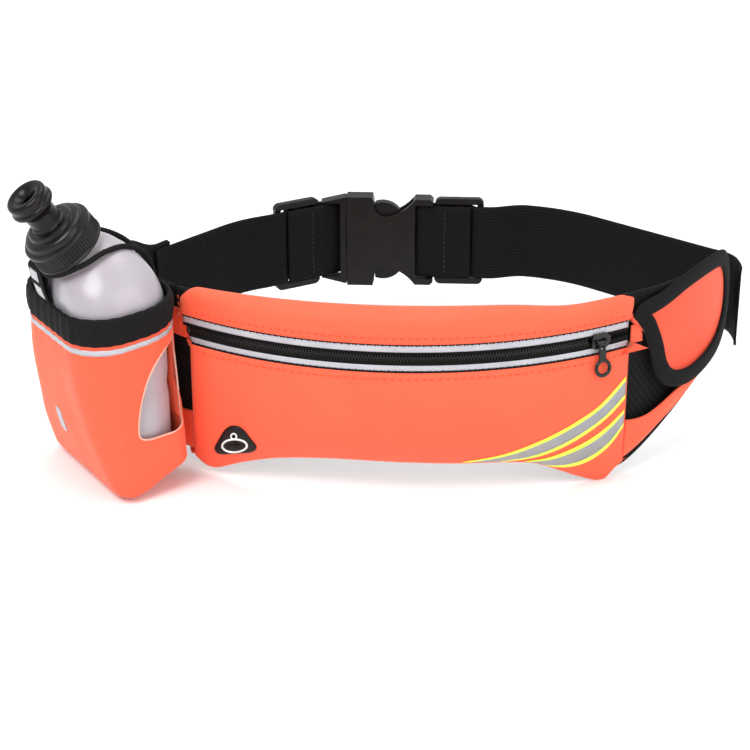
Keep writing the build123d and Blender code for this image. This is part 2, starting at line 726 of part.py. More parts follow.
def retainer_parts():
    """The pull tab that stands in the pocket's rim, and the elastic cord that it holds round the neck."""
    top = pocket_rim + band_height
    rim_y = bottle_depth / 2 + pocket_clearance + band_thick / 2
    corner = cord_ring / math.cos(math.radians(15))
    axis_plane = neck_plane(cord_along)
    route = [Vector(-8, rim_y, top + 0.2), Vector(-8, rim_y - 2, 58), Vector(-10, 22, 69), Vector(-15, 8, 77)]
    for k in range(7):
        turn = math.radians(180 + 30 * k)
        place = axis_plane.from_local_coords(Vector(corner * math.cos(turn), corner * math.sin(turn), 0))
        route.append(place)
    route += [Vector(-v.X, v.Y, v.Z) for v in reversed(route[:4])]
    radii = []
    for a, b, c in zip(route, route[1:], route[2:]):
        turn = math.radians((b - a).get_angle(c - b))
        radii.append(0.45 * min((b - a).length, (c - b).length) / math.tan(turn / 2))
    line = FilletPolyline(*route, radius=radii)
    cord = sweep(Plane(line @ 0, z_dir=line % 0) * Circle(cord_radius), path=line)
    front = axis_plane.from_local_coords(Vector(0, -cord_ring, 0))
    tab_high = front.Z - cord_radius - 0.2
    tab = Pos(0, front.Y, (top + 0.2 + tab_high) / 2) * Box(tab_width, tab_thick, tab_high - top - 0.2)
    return tab, cord


# ---------------------------------------------------------------- side pocket
def side_pocket_point(u, v):
    """A place on the empty side pocket: u along the wing, v from the lower seam to the drooping rim."""
    start = pouch_run + side_pocket_margin
    end = pouch_run + wing_length - side_pocket_margin
    low = pouch_end_low + 4 + (wing_end_low - pouch_end_low) * u
    rim = wing_top - 3 + (wing_end_top - wing_top) * u
    high = rim - side_pocket_droop * math.sqrt(math.sin(math.pi * u**0.8 * 0.999))
    swell = side_pocket_bulge * math.sin(math.pi * math.sqrt(u)) ** 2 * math.sin(math.pi / 2 * (0.1 + 0.9 * v))
    return right.point(start + (end - start) * u, side_pocket_offset + swell, low + (high - low) * v)


def side_pocket_sheet(low_share, high_share, thick):
    shares = [low_share + (high_share - low_share) * j / 5 for j in range(6)]
    grid = [[side_pocket_point(i / 14, v) for v in shares] for i in range(15)]
    return Solid.thicken(Face.make_surface_from_array_of_points(grid), thick)


def side_pocket_parts():
    """The collapsed front of the pocket, its elastic lip, and the lining seen in its mouth."""
    shell = side_pocket_sheet(0.0, 0.68, 1.2)
    lip = side_pocket_sheet(0.74, 1.0, 1.6)
    face = panel_thick / 2 + film_lift
    start, end = pouch_run + 2 * side_pocket_margin, pouch_run + 0.9 * wing_length
    lining = wall(right, start, end, face, face + lining_thick, -24, wing_top - wing_rim_height - 0.2)
    return shell, lip, lining & wing_shape(right, -2)


# ---------------------------------------------------------------- writing
def build():
    parts = {}
    back, front, top = pouch_shells()
    band, rest_angle = zip_band()
    patch, ring, port_hole = port_parts()
    parts["pouch_back_panel"] = back
    parts["pouch_front_panel"] = front - port_hole
    parts["pouch_top_panel"] = top
    parts.update(band)
    parts["earphone_port"] = patch
    parts["earphone_ring"] = ring
    parts["corner_stripes_grey"] = stripes(grey_shares)
    parts["corner_stripes_bright"] = stripes(bright_shares)
    parts["zip_slider"], parts["zip_pull"] = zip_slider_parts(rest_angle)

    parts["wing_right"], parts["wing_binding_right"] = wing(right)
    panel, edge = wing(left)
    parts["wing_left"], parts["wing_binding_left"] = to_left(panel), to_left(edge)
    parts["side_pocket_rear_rim"] = wing_rim(right)

    adjuster_right_s = right_total - (adjuster_right_x - female_bar_x)
    adjuster_left_s = left_total - adjuster_left_gap - adjuster_length / 2
    parts["strap_right"] = strap(right, right_total)
    parts["strap_left"] = to_left(strap(left, left_total))
    parts["strap_return_right"] = strap_return(right, right_total, adjuster_right_s)
    parts["strap_return_left"] = to_left(strap_return(left, left_total, adjuster_left_s))
    parts["adjuster_right"] = Pos(adjuster_right_x, buckle_y, 0) * adjuster()
    parts["adjuster_left"] = to_left(left.plane(adjuster_left_s).from_local_coords(adjuster()))

    seat_buckle = Pos(buckle_mouth_x, buckle_y, 0)
    parts["buckle_female"] = seat_buckle * buckle_female()
    parts["buckle_male"] = seat_buckle * buckle_male()
    parts["buckle_prong_upper"] = seat_buckle * prong()
    parts["buckle_prong_lower"] = mirror(seat_buckle * prong(), about=Plane.XY)

    seat = pocket_frame()
    names = ("bottle_shell", "bottle_cap", "cap_seal", "bottle_nozzle")
    for name, shape in zip(names, bottle_parts()):
        parts[name] = to_left(seat.from_local_coords(shape))
    names = ("bottle_pocket_shell", "bottle_pocket_band", "bottle_pocket_film", "bottle_pocket_badge")
    for name, shape in zip(names, pocket_parts()):
        parts[name] = to_left(seat.from_local_coords(shape))
    for name, shape in zip(("retainer_tab", "retainer_cord"), retainer_parts()):
        parts[name] = to_left(seat.from_local_coords(shape))

    names = ("side_pocket_shell", "side_pocket_lip", "side_pocket_lining")
    parts.update(zip(names, side_pocket_parts()))
    return parts


if __name__ == "__main__":
    os.makedirs("parts", exist_ok=True)
    for name, shape in build().items():
        export_step(shape, f"parts/{name}.step")
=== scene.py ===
"""Looks for the running waist pack: fabric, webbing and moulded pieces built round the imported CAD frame."""

import math

import bpy
import numpy as np
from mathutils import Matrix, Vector, noise


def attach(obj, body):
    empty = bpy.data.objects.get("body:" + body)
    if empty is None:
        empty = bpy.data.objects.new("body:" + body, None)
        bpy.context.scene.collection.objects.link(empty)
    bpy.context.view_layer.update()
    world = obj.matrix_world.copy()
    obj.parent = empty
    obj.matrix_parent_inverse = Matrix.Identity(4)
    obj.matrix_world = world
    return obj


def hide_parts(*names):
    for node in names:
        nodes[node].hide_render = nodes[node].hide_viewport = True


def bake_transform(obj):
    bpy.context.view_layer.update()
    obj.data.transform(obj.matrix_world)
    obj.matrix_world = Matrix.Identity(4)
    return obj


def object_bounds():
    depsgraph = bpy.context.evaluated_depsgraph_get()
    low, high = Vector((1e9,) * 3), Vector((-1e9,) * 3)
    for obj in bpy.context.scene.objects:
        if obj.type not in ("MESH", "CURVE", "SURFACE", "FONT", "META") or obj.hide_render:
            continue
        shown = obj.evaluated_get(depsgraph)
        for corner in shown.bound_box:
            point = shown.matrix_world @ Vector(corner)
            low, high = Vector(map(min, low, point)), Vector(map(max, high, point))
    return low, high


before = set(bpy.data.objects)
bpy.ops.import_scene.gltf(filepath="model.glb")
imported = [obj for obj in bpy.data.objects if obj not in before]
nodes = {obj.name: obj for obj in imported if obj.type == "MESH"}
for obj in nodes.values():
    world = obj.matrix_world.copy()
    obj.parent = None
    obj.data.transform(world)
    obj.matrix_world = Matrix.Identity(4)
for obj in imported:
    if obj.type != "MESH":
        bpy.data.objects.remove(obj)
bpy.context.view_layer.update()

MM = 0.001  # the geometry below is written in millimetres

# ------------------------------------------------------------------ sizes shared with the CAD
POUCH_HALF = 126.0
POUCH_MID_Y = -59.0
BACK_RADIUS = 270.0
FRONT_RADIUS = 225.0
FRONT_DEPTH = 14.0
BACK_AXIS_Y = POUCH_MID_Y + BACK_RADIUS
FRONT_AXIS_Y = POUCH_MID_Y - FRONT_DEPTH + FRONT_RADIUS
ZIP_Z = 21.0
ZIP_HALF = 8.6
WING = 131.0
WING_RIGHT_TURN = 56.2
WING_LEFT_TURN = 101.4
WING_HALF_THICK = 1.0
CORNER_RADIUS = 14.0  # the right belt folds back round the end of its wing
CORNER_TURN = 59.0
RIGHT_BEND = 95.0
LEFT_BEND = 91.0
LEFT_BEND_TURN = 18.8
WING_TOP = 43.0
WING_END_TOP = 27.0
WING_END_LOW = -30.0
STRAP_HALF = 25.0
STRAP_GAP = 2.8
STRAP_THICK = 1.6
BUCKLE_Y = 164.0
BUCKLE_X = -42.0
BUCKLE_BODY = 45.0
FEMALE_SLOT = 7.5
MALE_SLOT = 9.5
MALE_FLANGE = 4.5
BAR_BITE = 1.0
ADJUSTER_RIGHT_X = 32.0
ADJUSTER_LEFT_GAP = 5.0
ADJUSTER_HALF = 16.0
RAIL_REACH = 10.0  # from an adjuster's middle to the gap beside its far rail
BOTTLE = (82.0, 57.0, 24.0)  # width, depth and corner radius
BOTTLE_LOW = -59.0
FAR_SIDE = 0.8  # how slim the bottle is away from the pouch
POCKET_ALONG = 34.0
POCKET_SHIFT = -17.0
POCKET_STAND_OFF = 0.9
POCKET_RIM = 31.0
POCKET_BOTTOM = -70.0
POCKET_TAPER = 18.0  # how far the outer face leans in at the foot
LEAN_POWER = 2.2
POCKET_WIDTH = BOTTLE[0] + 6.0  # the bottle, its clearance and the cloth on both sides
POCKET_DEPTH = BOTTLE[1] + 6.0
POCKET_CORNER = BOTTLE[2] + 3.0
CORNER_LOSS = 17.0  # how much tighter the pocket's corners are at its foot
NECK_TILT = math.radians(35.0)
NECK_OUT = 14.0
NECK_FOOT = 70.0
NECK_RADIUS = 17.0
NECK_TOP = 17.5  # the neck's length and the cap's clearance over it
SEAL = 1.4  # the seal and its gap
CAP_SKIRT = 13.0
CAP_WALL = 1.8
NOZZLE_LIFT = 4.0


# ------------------------------------------------------------------ plan paths
class PlanPath:
    """Tangent arcs and straights seen from above, from the middle of the pouch's back, as in the CAD."""

    def __init__(self, runs):
        self.runs = runs
        self.total = sum(length for length, _ in runs)

    def pose(self, s):
        x, y, heading = 0.0, POUCH_MID_Y, 0.0
        for length, turn in self.runs:
            part = min(s, length)
            angle = math.radians(turn) * part / length
            if abs(angle) < 1e-9:
                x += part * math.cos(heading)
                y += part * math.sin(heading)
            else:
                radius = part / angle
                x += radius * (math.sin(heading + angle) - math.sin(heading))
                y += radius * (math.cos(heading) - math.cos(heading + angle))
            heading += angle
            s -= part
            if s <= 1e-9:
                break
        return x, y, heading

    def point(self, s, out=0.0, z=0.0):
        x, y, heading = self.pose(s)
        return x + out * math.sin(heading), y - out * math.cos(heading), z


POUCH_TURN = math.degrees(math.asin(POUCH_HALF / BACK_RADIUS))
POUCH_RUN = math.radians(POUCH_TURN) * BACK_RADIUS
FEMALE_BAR_X = BUCKLE_X + BUCKLE_BODY + FEMALE_SLOT + BAR_BITE
MALE_BAR_X = BUCKLE_X - MALE_FLANGE - MALE_SLOT - BAR_BITE


def right_path():
    corner = (CORNER_RADIUS * math.radians(CORNER_TURN), CORNER_TURN)
    runs = [(POUCH_RUN, POUCH_TURN), (WING, WING_RIGHT_TURN), corner]
    path = PlanPath(runs)
    _, y, heading = path.pose(path.total)
    straight = (BUCKLE_Y - y - RIGHT_BEND * (math.cos(heading) + 1)) / math.sin(heading)
    runs += [(straight, 0.0), (RIGHT_BEND * (math.pi - heading), math.degrees(math.pi - heading))]
    path = PlanPath(runs)
    return PlanPath(runs + [(path.pose(path.total)[0] - FEMALE_BAR_X, 0.0)])


def left_path():
    runs = [(POUCH_RUN, POUCH_TURN), (WING, WING_LEFT_TURN)]
    bend = (LEFT_BEND * math.radians(LEFT_BEND_TURN), LEFT_BEND_TURN)
    start = sum(length for length, _ in runs)
    bent = PlanPath(runs + [bend])
    first = bent.pose(start)[2]
    x, y, last = bent.pose(bent.total)
    dx, dy = -MALE_BAR_X - x, BUCKLE_Y - y
    span = math.sin(last - first)
    a = (dx * math.sin(last) - dy * math.cos(last)) / span
    b = (dy * math.cos(first) - dx * math.sin(first)) / span
    return PlanPath(runs + [(a, 0.0), bend, (b, 0.0)])


RIGHT = right_path()
LEFT = left_path()
SIDES = {"right": (RIGHT, 1.0), "left": (LEFT, -1.0)}


def on_side(side, s, out, z):
    """A place beside a path, on its own side of the pack."""
    path, sign = SIDES[side]
    x, y, z = path.point(s, out, z)
    return sign * x, y, z


def outward_at(side, s):
    """The unit vector square to a path, away from the wearer."""
    return np.array(on_side(side, s, 1, 0)) - np.array(on_side(side, s, 0, 0))


# ------------------------------------------------------------------ small maths
def smooth(t):
    t = min(max(t, 0.0), 1.0)
    return t * t * (3 - 2 * t)


def lerp(a, b, t):
    return a + (b - a) * t


def steps(a, b, count):
    return [lerp(a, b, i / count) for i in range(count + 1)]


def spline(points, count, closed=False):
    """Catmull-Rom through points of any size, count samples to a span."""
    pts = [np.array(p, float) for p in points]
    n = len(pts)
    spans = n if closed else n - 1
    out = []
    for i in range(spans):
        if closed:
            p0, p1, p2, p3 = (pts[(i + k) % n] for k in (-1, 0, 1, 2))
        else:
            p1, p2 = pts[i], pts[i + 1]
            p0 = pts[i - 1] if i else 2 * p1 - p2
            p3 = pts[i + 2] if i + 2 < n else 2 * p2 - p1
        for k in range(count):
            t = k / count
            out.append(
                0.5 * (2 * p1 + (p2 - p0) * t + (2 * p0 - 5 * p1 + 4 * p2 - p3) * t**2
                       + (3 * p1 - p0 - 3 * p2 + p3) * t**3)
            )
    if not closed:
        out.append(pts[-1])
    return out


# ------------------------------------------------------------------ meshes
def finish_mesh(name, verts, faces, material, body="pack", uvs=None, smooth_faces=True):
    mesh = bpy.data.meshes.new(name)
    mesh.from_pydata([[c * MM for c in v] for v in verts], [], faces)
    if uvs is not None:
        layer = mesh.uv_layers.new(name="UVMap")
        for loop in mesh.loops:
            layer.data[loop.index].uv = uvs[loop.vertex_index]
    mesh.polygons.foreach_set("use_smooth", [smooth_faces] * len(mesh.polygons))
    mesh.validate()
    obj = bpy.data.objects.new(name, mesh)
    bpy.context.scene.collection.objects.link(obj)
    mesh.materials.append(material)
    if body:
        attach(obj, body)
    return obj


def grid(name, rows, material, body="pack", thick=0.0, wrap=False, offset=-1.0, outward=None, capped=False):
    """A sheet through rows of points, thickened. Its UVs are decimetres along the rows and across them."""
    count, width = len(rows), len(rows[0])
    pts = np.array(rows, float)
    along = np.zeros((count, width))
    across = np.zeros((count, width))
    along[:, 1:] = np.cumsum(np.linalg.norm(np.diff(pts, axis=1), axis=2), axis=1)
    across[1:] = np.cumsum(np.linalg.norm(np.diff(pts, axis=0), axis=2), axis=0)
    mid_along, mid_across = along[count // 2], across[:, width // 2]
    uvs = [(mid_along[j] / 100, mid_across[i] / 100) for i in range(count) for j in range(width)]
    faces = []
    for i in range(count - 1):
        for j in range(width if wrap else width - 1):
            k = (j + 1) % width
            faces.append((i * width + j, i * width + k, (i + 1) * width + k, (i + 1) * width + j))
    if capped:
        faces.append(tuple(reversed(range(width))))
    if outward is not None:
        i, j = count // 2, width // 2
        a, b, c = pts[i, j], pts[i, j - 1], pts[i - 1, j]
        if np.dot(np.cross(b - a, c - a), np.array(outward, float)) < 0:
            faces = [tuple(reversed(f)) for f in faces]
    elif wrap:
        a, b, c = pts[count // 2, 0], pts[count // 2, 1], pts[count // 2 + 1, 0]
        if np.dot(np.cross(b - a, c - a), a - pts[count // 2].mean(axis=0)) < 0:
            faces = [tuple(reversed(f)) for f in faces]
    obj = finish_mesh(name, pts.reshape(-1, 3), faces, material, body, uvs)
    if thick:
        solid = obj.modifiers.new("solid", "SOLIDIFY")
        solid.thickness, solid.offset, solid.use_even_offset = thick * MM, offset, thick > 0.5 and not wrap
        apply_modifiers(obj)
    return obj


def apply_modifiers(obj):
    bpy.context.view_layer.update()
    deps = bpy.context.evaluated_depsgraph_get()
    mesh = bpy.data.meshes.new_from_object(obj.evaluated_get(deps))
    obj.modifiers.clear()
    obj.data = mesh
    return obj


def sweep(name, centres, sides, ups, section, material, body="pack", closed=False):
    """A section drawn as (side, up) carried along centres. Sides and ups are unit vectors at each centre."""
    verts, faces, uvs = [], [], []
    n, m = len(centres), len(section)
    run = 0.0
    girth = [0.0]
    for a, b in zip(section, section[1:]):
        girth.append(girth[-1] + math.dist(a, b))
    for i in range(n):
        if i:
            run += float(np.linalg.norm(np.array(centres[i]) - np.array(centres[i - 1])))
        c, u, w = (np.array(v, float) for v in (centres[i], sides[i], ups[i]))
        for k, (a, b) in enumerate(section):
            verts.append(c + u * a + w * b)
            uvs.append((run / 100, girth[k] / 100))
    for i in range(n if closed else n - 1):
        j = (i + 1) % n
        for k in range(m):
            l = (k + 1) % m
            faces.append((i * m + k, i * m + l, j * m + l, j * m + k))
    if not closed:
        faces.append(tuple(range(m)))
        faces.append(tuple(reversed(range((n - 1) * m, n * m))))
    return finish_mesh(name, verts, faces, material, body, uvs)


def flat_section(width, thick, power=4.0, count=20):
    """A soft-edged flat band's section, as (side, up)."""
    out = []
    for k in range(count):
        a = 2 * math.pi * k / count
        ca, sa = math.cos(a), math.sin(a)
        out.append((
            width / 2 * math.copysign(abs(ca) ** (2 / power), ca),
            thick / 2 * math.copysign(abs(sa) ** (2 / 2.2), sa),
        ))
    return out


def frames(centres, ups, closed=False):
    """Side vectors square to the run and to each up, and the ups made square to the run."""
    n = len(centres)
    sides, tops = [], []
    for i in range(n):
        a = np.array(centres[(i - 1) % n if closed else max(i - 1, 0)], float)
        b = np.array(centres[(i + 1) % n if closed else min(i + 1, n - 1)], float)
        run = (b - a) / max(np.linalg.norm(b - a), 1e-9)
        side = np.cross(run, np.array(ups[i], float))
        side /= max(np.linalg.norm(side), 1e-9)
        sides.append(side)
        tops.append(np.cross(side, run))
    return sides, tops


def tube(name, centres, radius, material, body="pack", closed=False, count=10):
    """A round tube, with a frame carried along without twist."""
    n = len(centres)
    pts = [np.array(c, float) for c in centres]
    up = np.array((0.1, 0.2, 1.0))
    ups = []
    for i in range(n):
        run = pts[(i + 1) % n if closed else min(i + 1, n - 1)] - pts[i - 1 if closed or i else 0]
        run /= max(np.linalg.norm(run), 1e-9)
        up = up - run * np.dot(up, run)
        up /= max(np.linalg.norm(up), 1e-9)
        ups.append(up)
    sides, tops = frames(centres, ups, closed)
    ring = [
        (radius * math.cos(2 * math.pi * k / count), radius * math.sin(2 * math.pi * k / count))
        for k in range(count)
    ]
    return sweep(name, centres, sides, tops, ring, material, body, closed)


def stitches(name, line, normals, material, pitch=5.4, length=2.8, width=0.7, lift=0.15, body="pack"):
    """A row of separate stitches along a line, each a low pointed bar that dips in at both ends."""
    pts = [np.array(p, float) for p in line]
    runs = [0.0]
    for a, b in zip(pts, pts[1:]):
        runs.append(runs[-1] + float(np.linalg.norm(b - a)))

    def at(s):
        i = min(max(int(np.searchsorted(runs, s)) - 1, 0), len(pts) - 2)
        t = (s - runs[i]) / max(runs[i + 1] - runs[i], 1e-9)
        normal = np.array(normals[i], float)
        return pts[i] * (1 - t) + pts[i + 1] * t, normal / np.linalg.norm(normal)

    verts, faces = [], []
    s = pitch / 2
    while s + length < runs[-1]:
        a, normal = at(s)
        b, _ = at(s + length)
        run = (b - a) / np.linalg.norm(b - a)
        side = np.cross(run, normal)
        base = len(verts)
        for t, w, h in ((0, 0.35, -0.3), (0.2, 0.9, 0.75), (0.8, 0.9, 0.75), (1, 0.35, -0.3)):
            c = a + (b - a) * t
            for q, g in ((-1, 0.0), (-0.6, 0.8), (0.6, 0.8), (1, 0.0)):
                verts.append(c + side * q * w * width / 2 + normal * (lift + (h + g - 0.8) * width / 2))
        for r in range(3):
            for q in range(3):
                k = base + 4 * r + q
                faces.append((k, k + 1, k + 5, k + 4))
        s += pitch
    return finish_mesh(name, verts, faces, material, body)


# ------------------------------------------------------------------ materials
def surface(name, colour, rough, spec=0.5, sheen=0.0, sheen_tint=None, coat=0.0, metal=0.0):
    mat = bpy.data.materials.new(name)
    mat.use_nodes = True
    tree = mat.node_tree
    shader = tree.nodes["Principled BSDF"]
    shader.inputs["Base Color"].default_value = (*colour, 1)
    shader.inputs["Roughness"].default_value = rough
    shader.inputs["Specular IOR Level"].default_value = spec
    shader.inputs["Sheen Weight"].default_value = sheen
    shader.inputs["Sheen Roughness"].default_value = 0.4
    shader.inputs["Sheen Tint"].default_value = (*(sheen_tint or colour), 1)
    shader.inputs["Coat Weight"].default_value = coat
    shader.inputs["Metallic"].default_value = metal
    return mat, tree, shader


def node(tree, kind, **values):
    made = tree.nodes.new(kind)
    for key, value in values.items():
        if key in made.inputs:
            made.inputs[key].default_value = value
        else:
            setattr(made, key, value)
    return made


def coords(tree, uv, scale=(1, 1, 1), turn=0.0):
    """Texture coordinates: UVs in decimetres, or object coordinates in metres."""
    source = node(tree, "ShaderNodeTexCoord")
    mapping = node(tree, "ShaderNodeMapping")
    mapping.inputs["Scale"].default_value = scale
    mapping.inputs["Rotation"].default_value = (0, 0, turn)
    tree.links.new(source.outputs["UV" if uv else "Object"], mapping.inputs["Vector"])
    return mapping.outputs["Vector"]


def pattern(tree, kind, uv=False, **values):
    """A texture node on its coordinates."""
    made = node(tree, f"ShaderNodeTex{kind}", **values)
    tree.links.new(coords(tree, uv), made.inputs["Vector"])
    return made


def math_node(tree, operation, a, b=None):
    made = node(tree, "ShaderNodeMath", operation=operation)
    for socket, value in zip(made.inputs, (a, b)):
        if value is None:
            continue
        if isinstance(value, (int, float)):
            socket.default_value = value
        else:
            tree.links.new(value, socket)
    return made.outputs[0]


def mottle(tree, shader, colour, amount, scale, uv=False, shade_tint=None):
    """Slow colour variation, as from dye, dust and handling. When a darker end colour is given, as on the
    bottle, that end is painted shade tinted by reflected light.
    """
    texture = pattern(tree, "Noise", uv, Scale=scale, Detail=6.0, Roughness=0.6)
    ramp = node(tree, "ShaderNodeValToRGB")
    low = shade_tint or [c * (1 - amount) for c in colour]
    high = [min(c * (1 + amount), 1.0) for c in colour]
    ramp.color_ramp.elements[0].position = 0.3
    ramp.color_ramp.elements[0].color = (*low, 1)
    ramp.color_ramp.elements[1].position = 0.72
    ramp.color_ramp.elements[1].color = (*high, 1)
    tree.links.new(texture.outputs["Fac"], ramp.inputs["Fac"])
    tree.links.new(ramp.outputs["Color"], shader.inputs["Base Color"])
    return ramp


def bump(tree, shader, height, distance, strength=0.6):
    made = node(tree, "ShaderNodeBump", Strength=strength, Distance=distance)
    tree.links.new(height, made.inputs["Height"])
    tree.links.new(made.outputs["Normal"], shader.inputs["Normal"])
    return made


def ribs(tree, uv, per_mm, axis="Y", turn=0.0, distort=0.0):
    """Rounded ribs, per_mm of them to a millimetre across the axis."""
    unit = 100.0 if uv else 1000.0
    texture = node(tree, "ShaderNodeTexWave", bands_direction=axis, wave_profile="SIN", Scale=1.0)
    texture.inputs["Distortion"].default_value = distort
    texture.inputs["Detail"].default_value = 1.0
    scale = per_mm * unit * math.pi / 10.0
    tree.links.new(coords(tree, uv, (scale, scale, scale), turn), texture.inputs["Vector"])
    return texture.outputs["Fac"]


def knit(name, colour, uv=True):
    """Smooth stretch knit bonded to foam: fine wales, a soft sheen and slight changes of dye."""
    mat, tree, shader = surface(name, colour, 0.62, 0.3, sheen=0.35, sheen_tint=(1.0, 0.55, 0.4))
    mottle(tree, shader, colour, 0.07, 18.0)
    wales = ribs(tree, uv, 0.9, "X")
    courses = ribs(tree, uv, 1.1, "Y")
    grain = pattern(tree, "Noise", Scale=900.0, Detail=2.0)
    height = math_node(tree, "ADD", math_node(tree, "MULTIPLY", wales, courses), grain.outputs["Fac"])
    bump(tree, shader, height, 0.00016, 0.5)
    return mat


def elastic(name, colour=(0.006, 0.006, 0.0063), per_mm=0.7, axis="Y", turn=0.0, cross=1.4, relief=0.0003):
    """Woven elastic: ribs one way and a finer weave the other, with painted shade in the hollows and painted
    highlight on the ridges.
    """
    mat, tree, shader = surface(name, colour, 0.82, 0.14, sheen=0.03, sheen_tint=(0.5, 0.5, 0.52))
    rib = ribs(tree, True, per_mm, axis, turn, 0.2)
    weave = ribs(tree, True, cross, "X" if axis == "Y" else "Y", turn)
    height = math_node(tree, "ADD", rib, math_node(tree, "MULTIPLY", weave, 0.45))
    bump(tree, shader, height, relief, 0.8)
    # Colour follows the weave's height: painted shade in its hollows, painted highlight on its ridges.
    ramp = node(tree, "ShaderNodeValToRGB")
    ramp.color_ramp.elements[0].color = (*[c * 0.45 for c in colour], 1)
    ramp.color_ramp.elements[1].color = (*[c * 1.9 for c in colour], 1)
    ramp.color_ramp.elements[0].position = 0.15
    tree.links.new(height, ramp.inputs["Fac"])
    tree.links.new(ramp.outputs["Color"], shader.inputs["Base Color"])
    return mat


def spacer_mesh(name, uv=True):
    """Knitted spacer mesh: rows of small round holes in a dull black face, with painted shade darkening the
    holes.
    """
    mat, tree, shader = surface(name, (0.006, 0.006, 0.006), 0.8, 0.15, sheen=0.03)
    unit = 100.0 if uv else 1000.0
    cells = node(tree, "ShaderNodeTexVoronoi", Scale=1.0, Randomness=0.12, feature="F1")
    scale = unit / 2.3
    tree.links.new(coords(tree, uv, (scale, scale * 0.86, scale), math.radians(45)), cells.inputs["Vector"])
    # The holes are painted darker than the face: painted shade in them.
    ramp = node(tree, "ShaderNodeValToRGB")
    ramp.color_ramp.elements[0].position = 0.22
    ramp.color_ramp.elements[0].color = (0.001, 0.001, 0.001, 1)
    ramp.color_ramp.elements[1].position = 0.36
    ramp.color_ramp.elements[1].color = (0.009, 0.009, 0.009, 1)
    tree.links.new(cells.outputs["Distance"], ramp.inputs["Fac"])
    tree.links.new(ramp.outputs["Color"], shader.inputs["Base Color"])
    bump(tree, shader, ramp.outputs["Color"], 0.0006, 0.9)
    return mat


def film(name, colour, metal=0.25):
    """Heat-pressed reflective film: a fine beaded grain and faint creases."""
    mat, tree, shader = surface(name, colour, 0.42, 0.5, metal=metal, coat=0.1)
    mottle(tree, shader, colour, 0.1, 60.0)
    beads = pattern(tree, "Voronoi", Scale=1900.0)
    crease = pattern(tree, "Noise", Scale=140.0, Detail=3.0)
    height = math_node(tree, "ADD", beads.outputs["Distance"], crease.outputs["Fac"])
    bump(tree, shader, height, 0.0001, 0.5)
    return mat


def moulded(name, colour=(0.012, 0.0115, 0.011), rough=0.4, edge=0.0005, coat=0.0, grain=0.00006):
    """Moulded plastic: a spark-eroded grain, uneven gloss and rounded edges that catch the light."""
    mat, tree, shader = surface(name, colour, rough, 0.25, coat=coat)
    mottle(tree, shader, colour, 0.25, 90.0)
    fine = pattern(tree, "Noise", Scale=2600.0, Detail=2.0)
    made = bump(tree, shader, fine.outputs["Fac"], grain, 0.5)
    round_edge = node(tree, "ShaderNodeBevel", Radius=edge, samples=4)
    tree.links.new(round_edge.outputs["Normal"], made.inputs["Normal"])
    wear = pattern(tree, "Noise", Scale=220.0, Detail=4.0)
    ramp = node(tree, "ShaderNodeMapRange")
    ramp.inputs["To Min"].default_value = rough - 0.08
    ramp.inputs["To Max"].default_value = rough + 0.12
    tree.links.new(wear.outputs["Fac"], ramp.inputs["Value"])
    tree.links.new(ramp.outputs["Result"], shader.inputs["Roughness"])
    return mat


def frosted(name):
    """Frosted bottle plastic: milky, with faint warm, darker patches at random: painted shade tinted by light
    reflected from the orange fabric round it.
    """
    colour = (0.40, 0.41, 0.47)
    mat, tree, shader = surface(name, colour, 0.3, 0.5, coat=0.25)
    shader.inputs["Subsurface Weight"].default_value = 0.35
    shader.inputs["Subsurface Radius"].default_value = (0.012, 0.012, 0.014)
    shader.inputs["Subsurface Scale"].default_value = 1.0
    # The darker, warmer end of this noise is painted shade with a painted reflection of the orange fabric.
    mottle(tree, shader, colour, 0.06, 22.0, shade_tint=(0.42, 0.36, 0.40))
    ripple = pattern(tree, "Noise", Scale=60.0, Detail=2.0)
    fine = pattern(tree, "Noise", Scale=1800.0, Detail=1.0)
    faint = math_node(tree, "MULTIPLY", fine.outputs["Fac"], 0.15)
    height = math_node(tree, "ADD", ripple.outputs["Fac"], faint)
    bump(tree, shader, height, 0.0003, 0.35)
    return mat


def thread(name, colour):
    mat, tree, shader = surface(name, colour, 0.6, 0.4, sheen=0.3, sheen_tint=(1, 0.8, 0.7))
    twist = ribs(tree, False, 1.6, "DIAGONAL")
    bump(tree, shader, twist, 0.0001, 0.6)
    mottle(tree, shader, colour, 0.1, 120.0)
    return mat


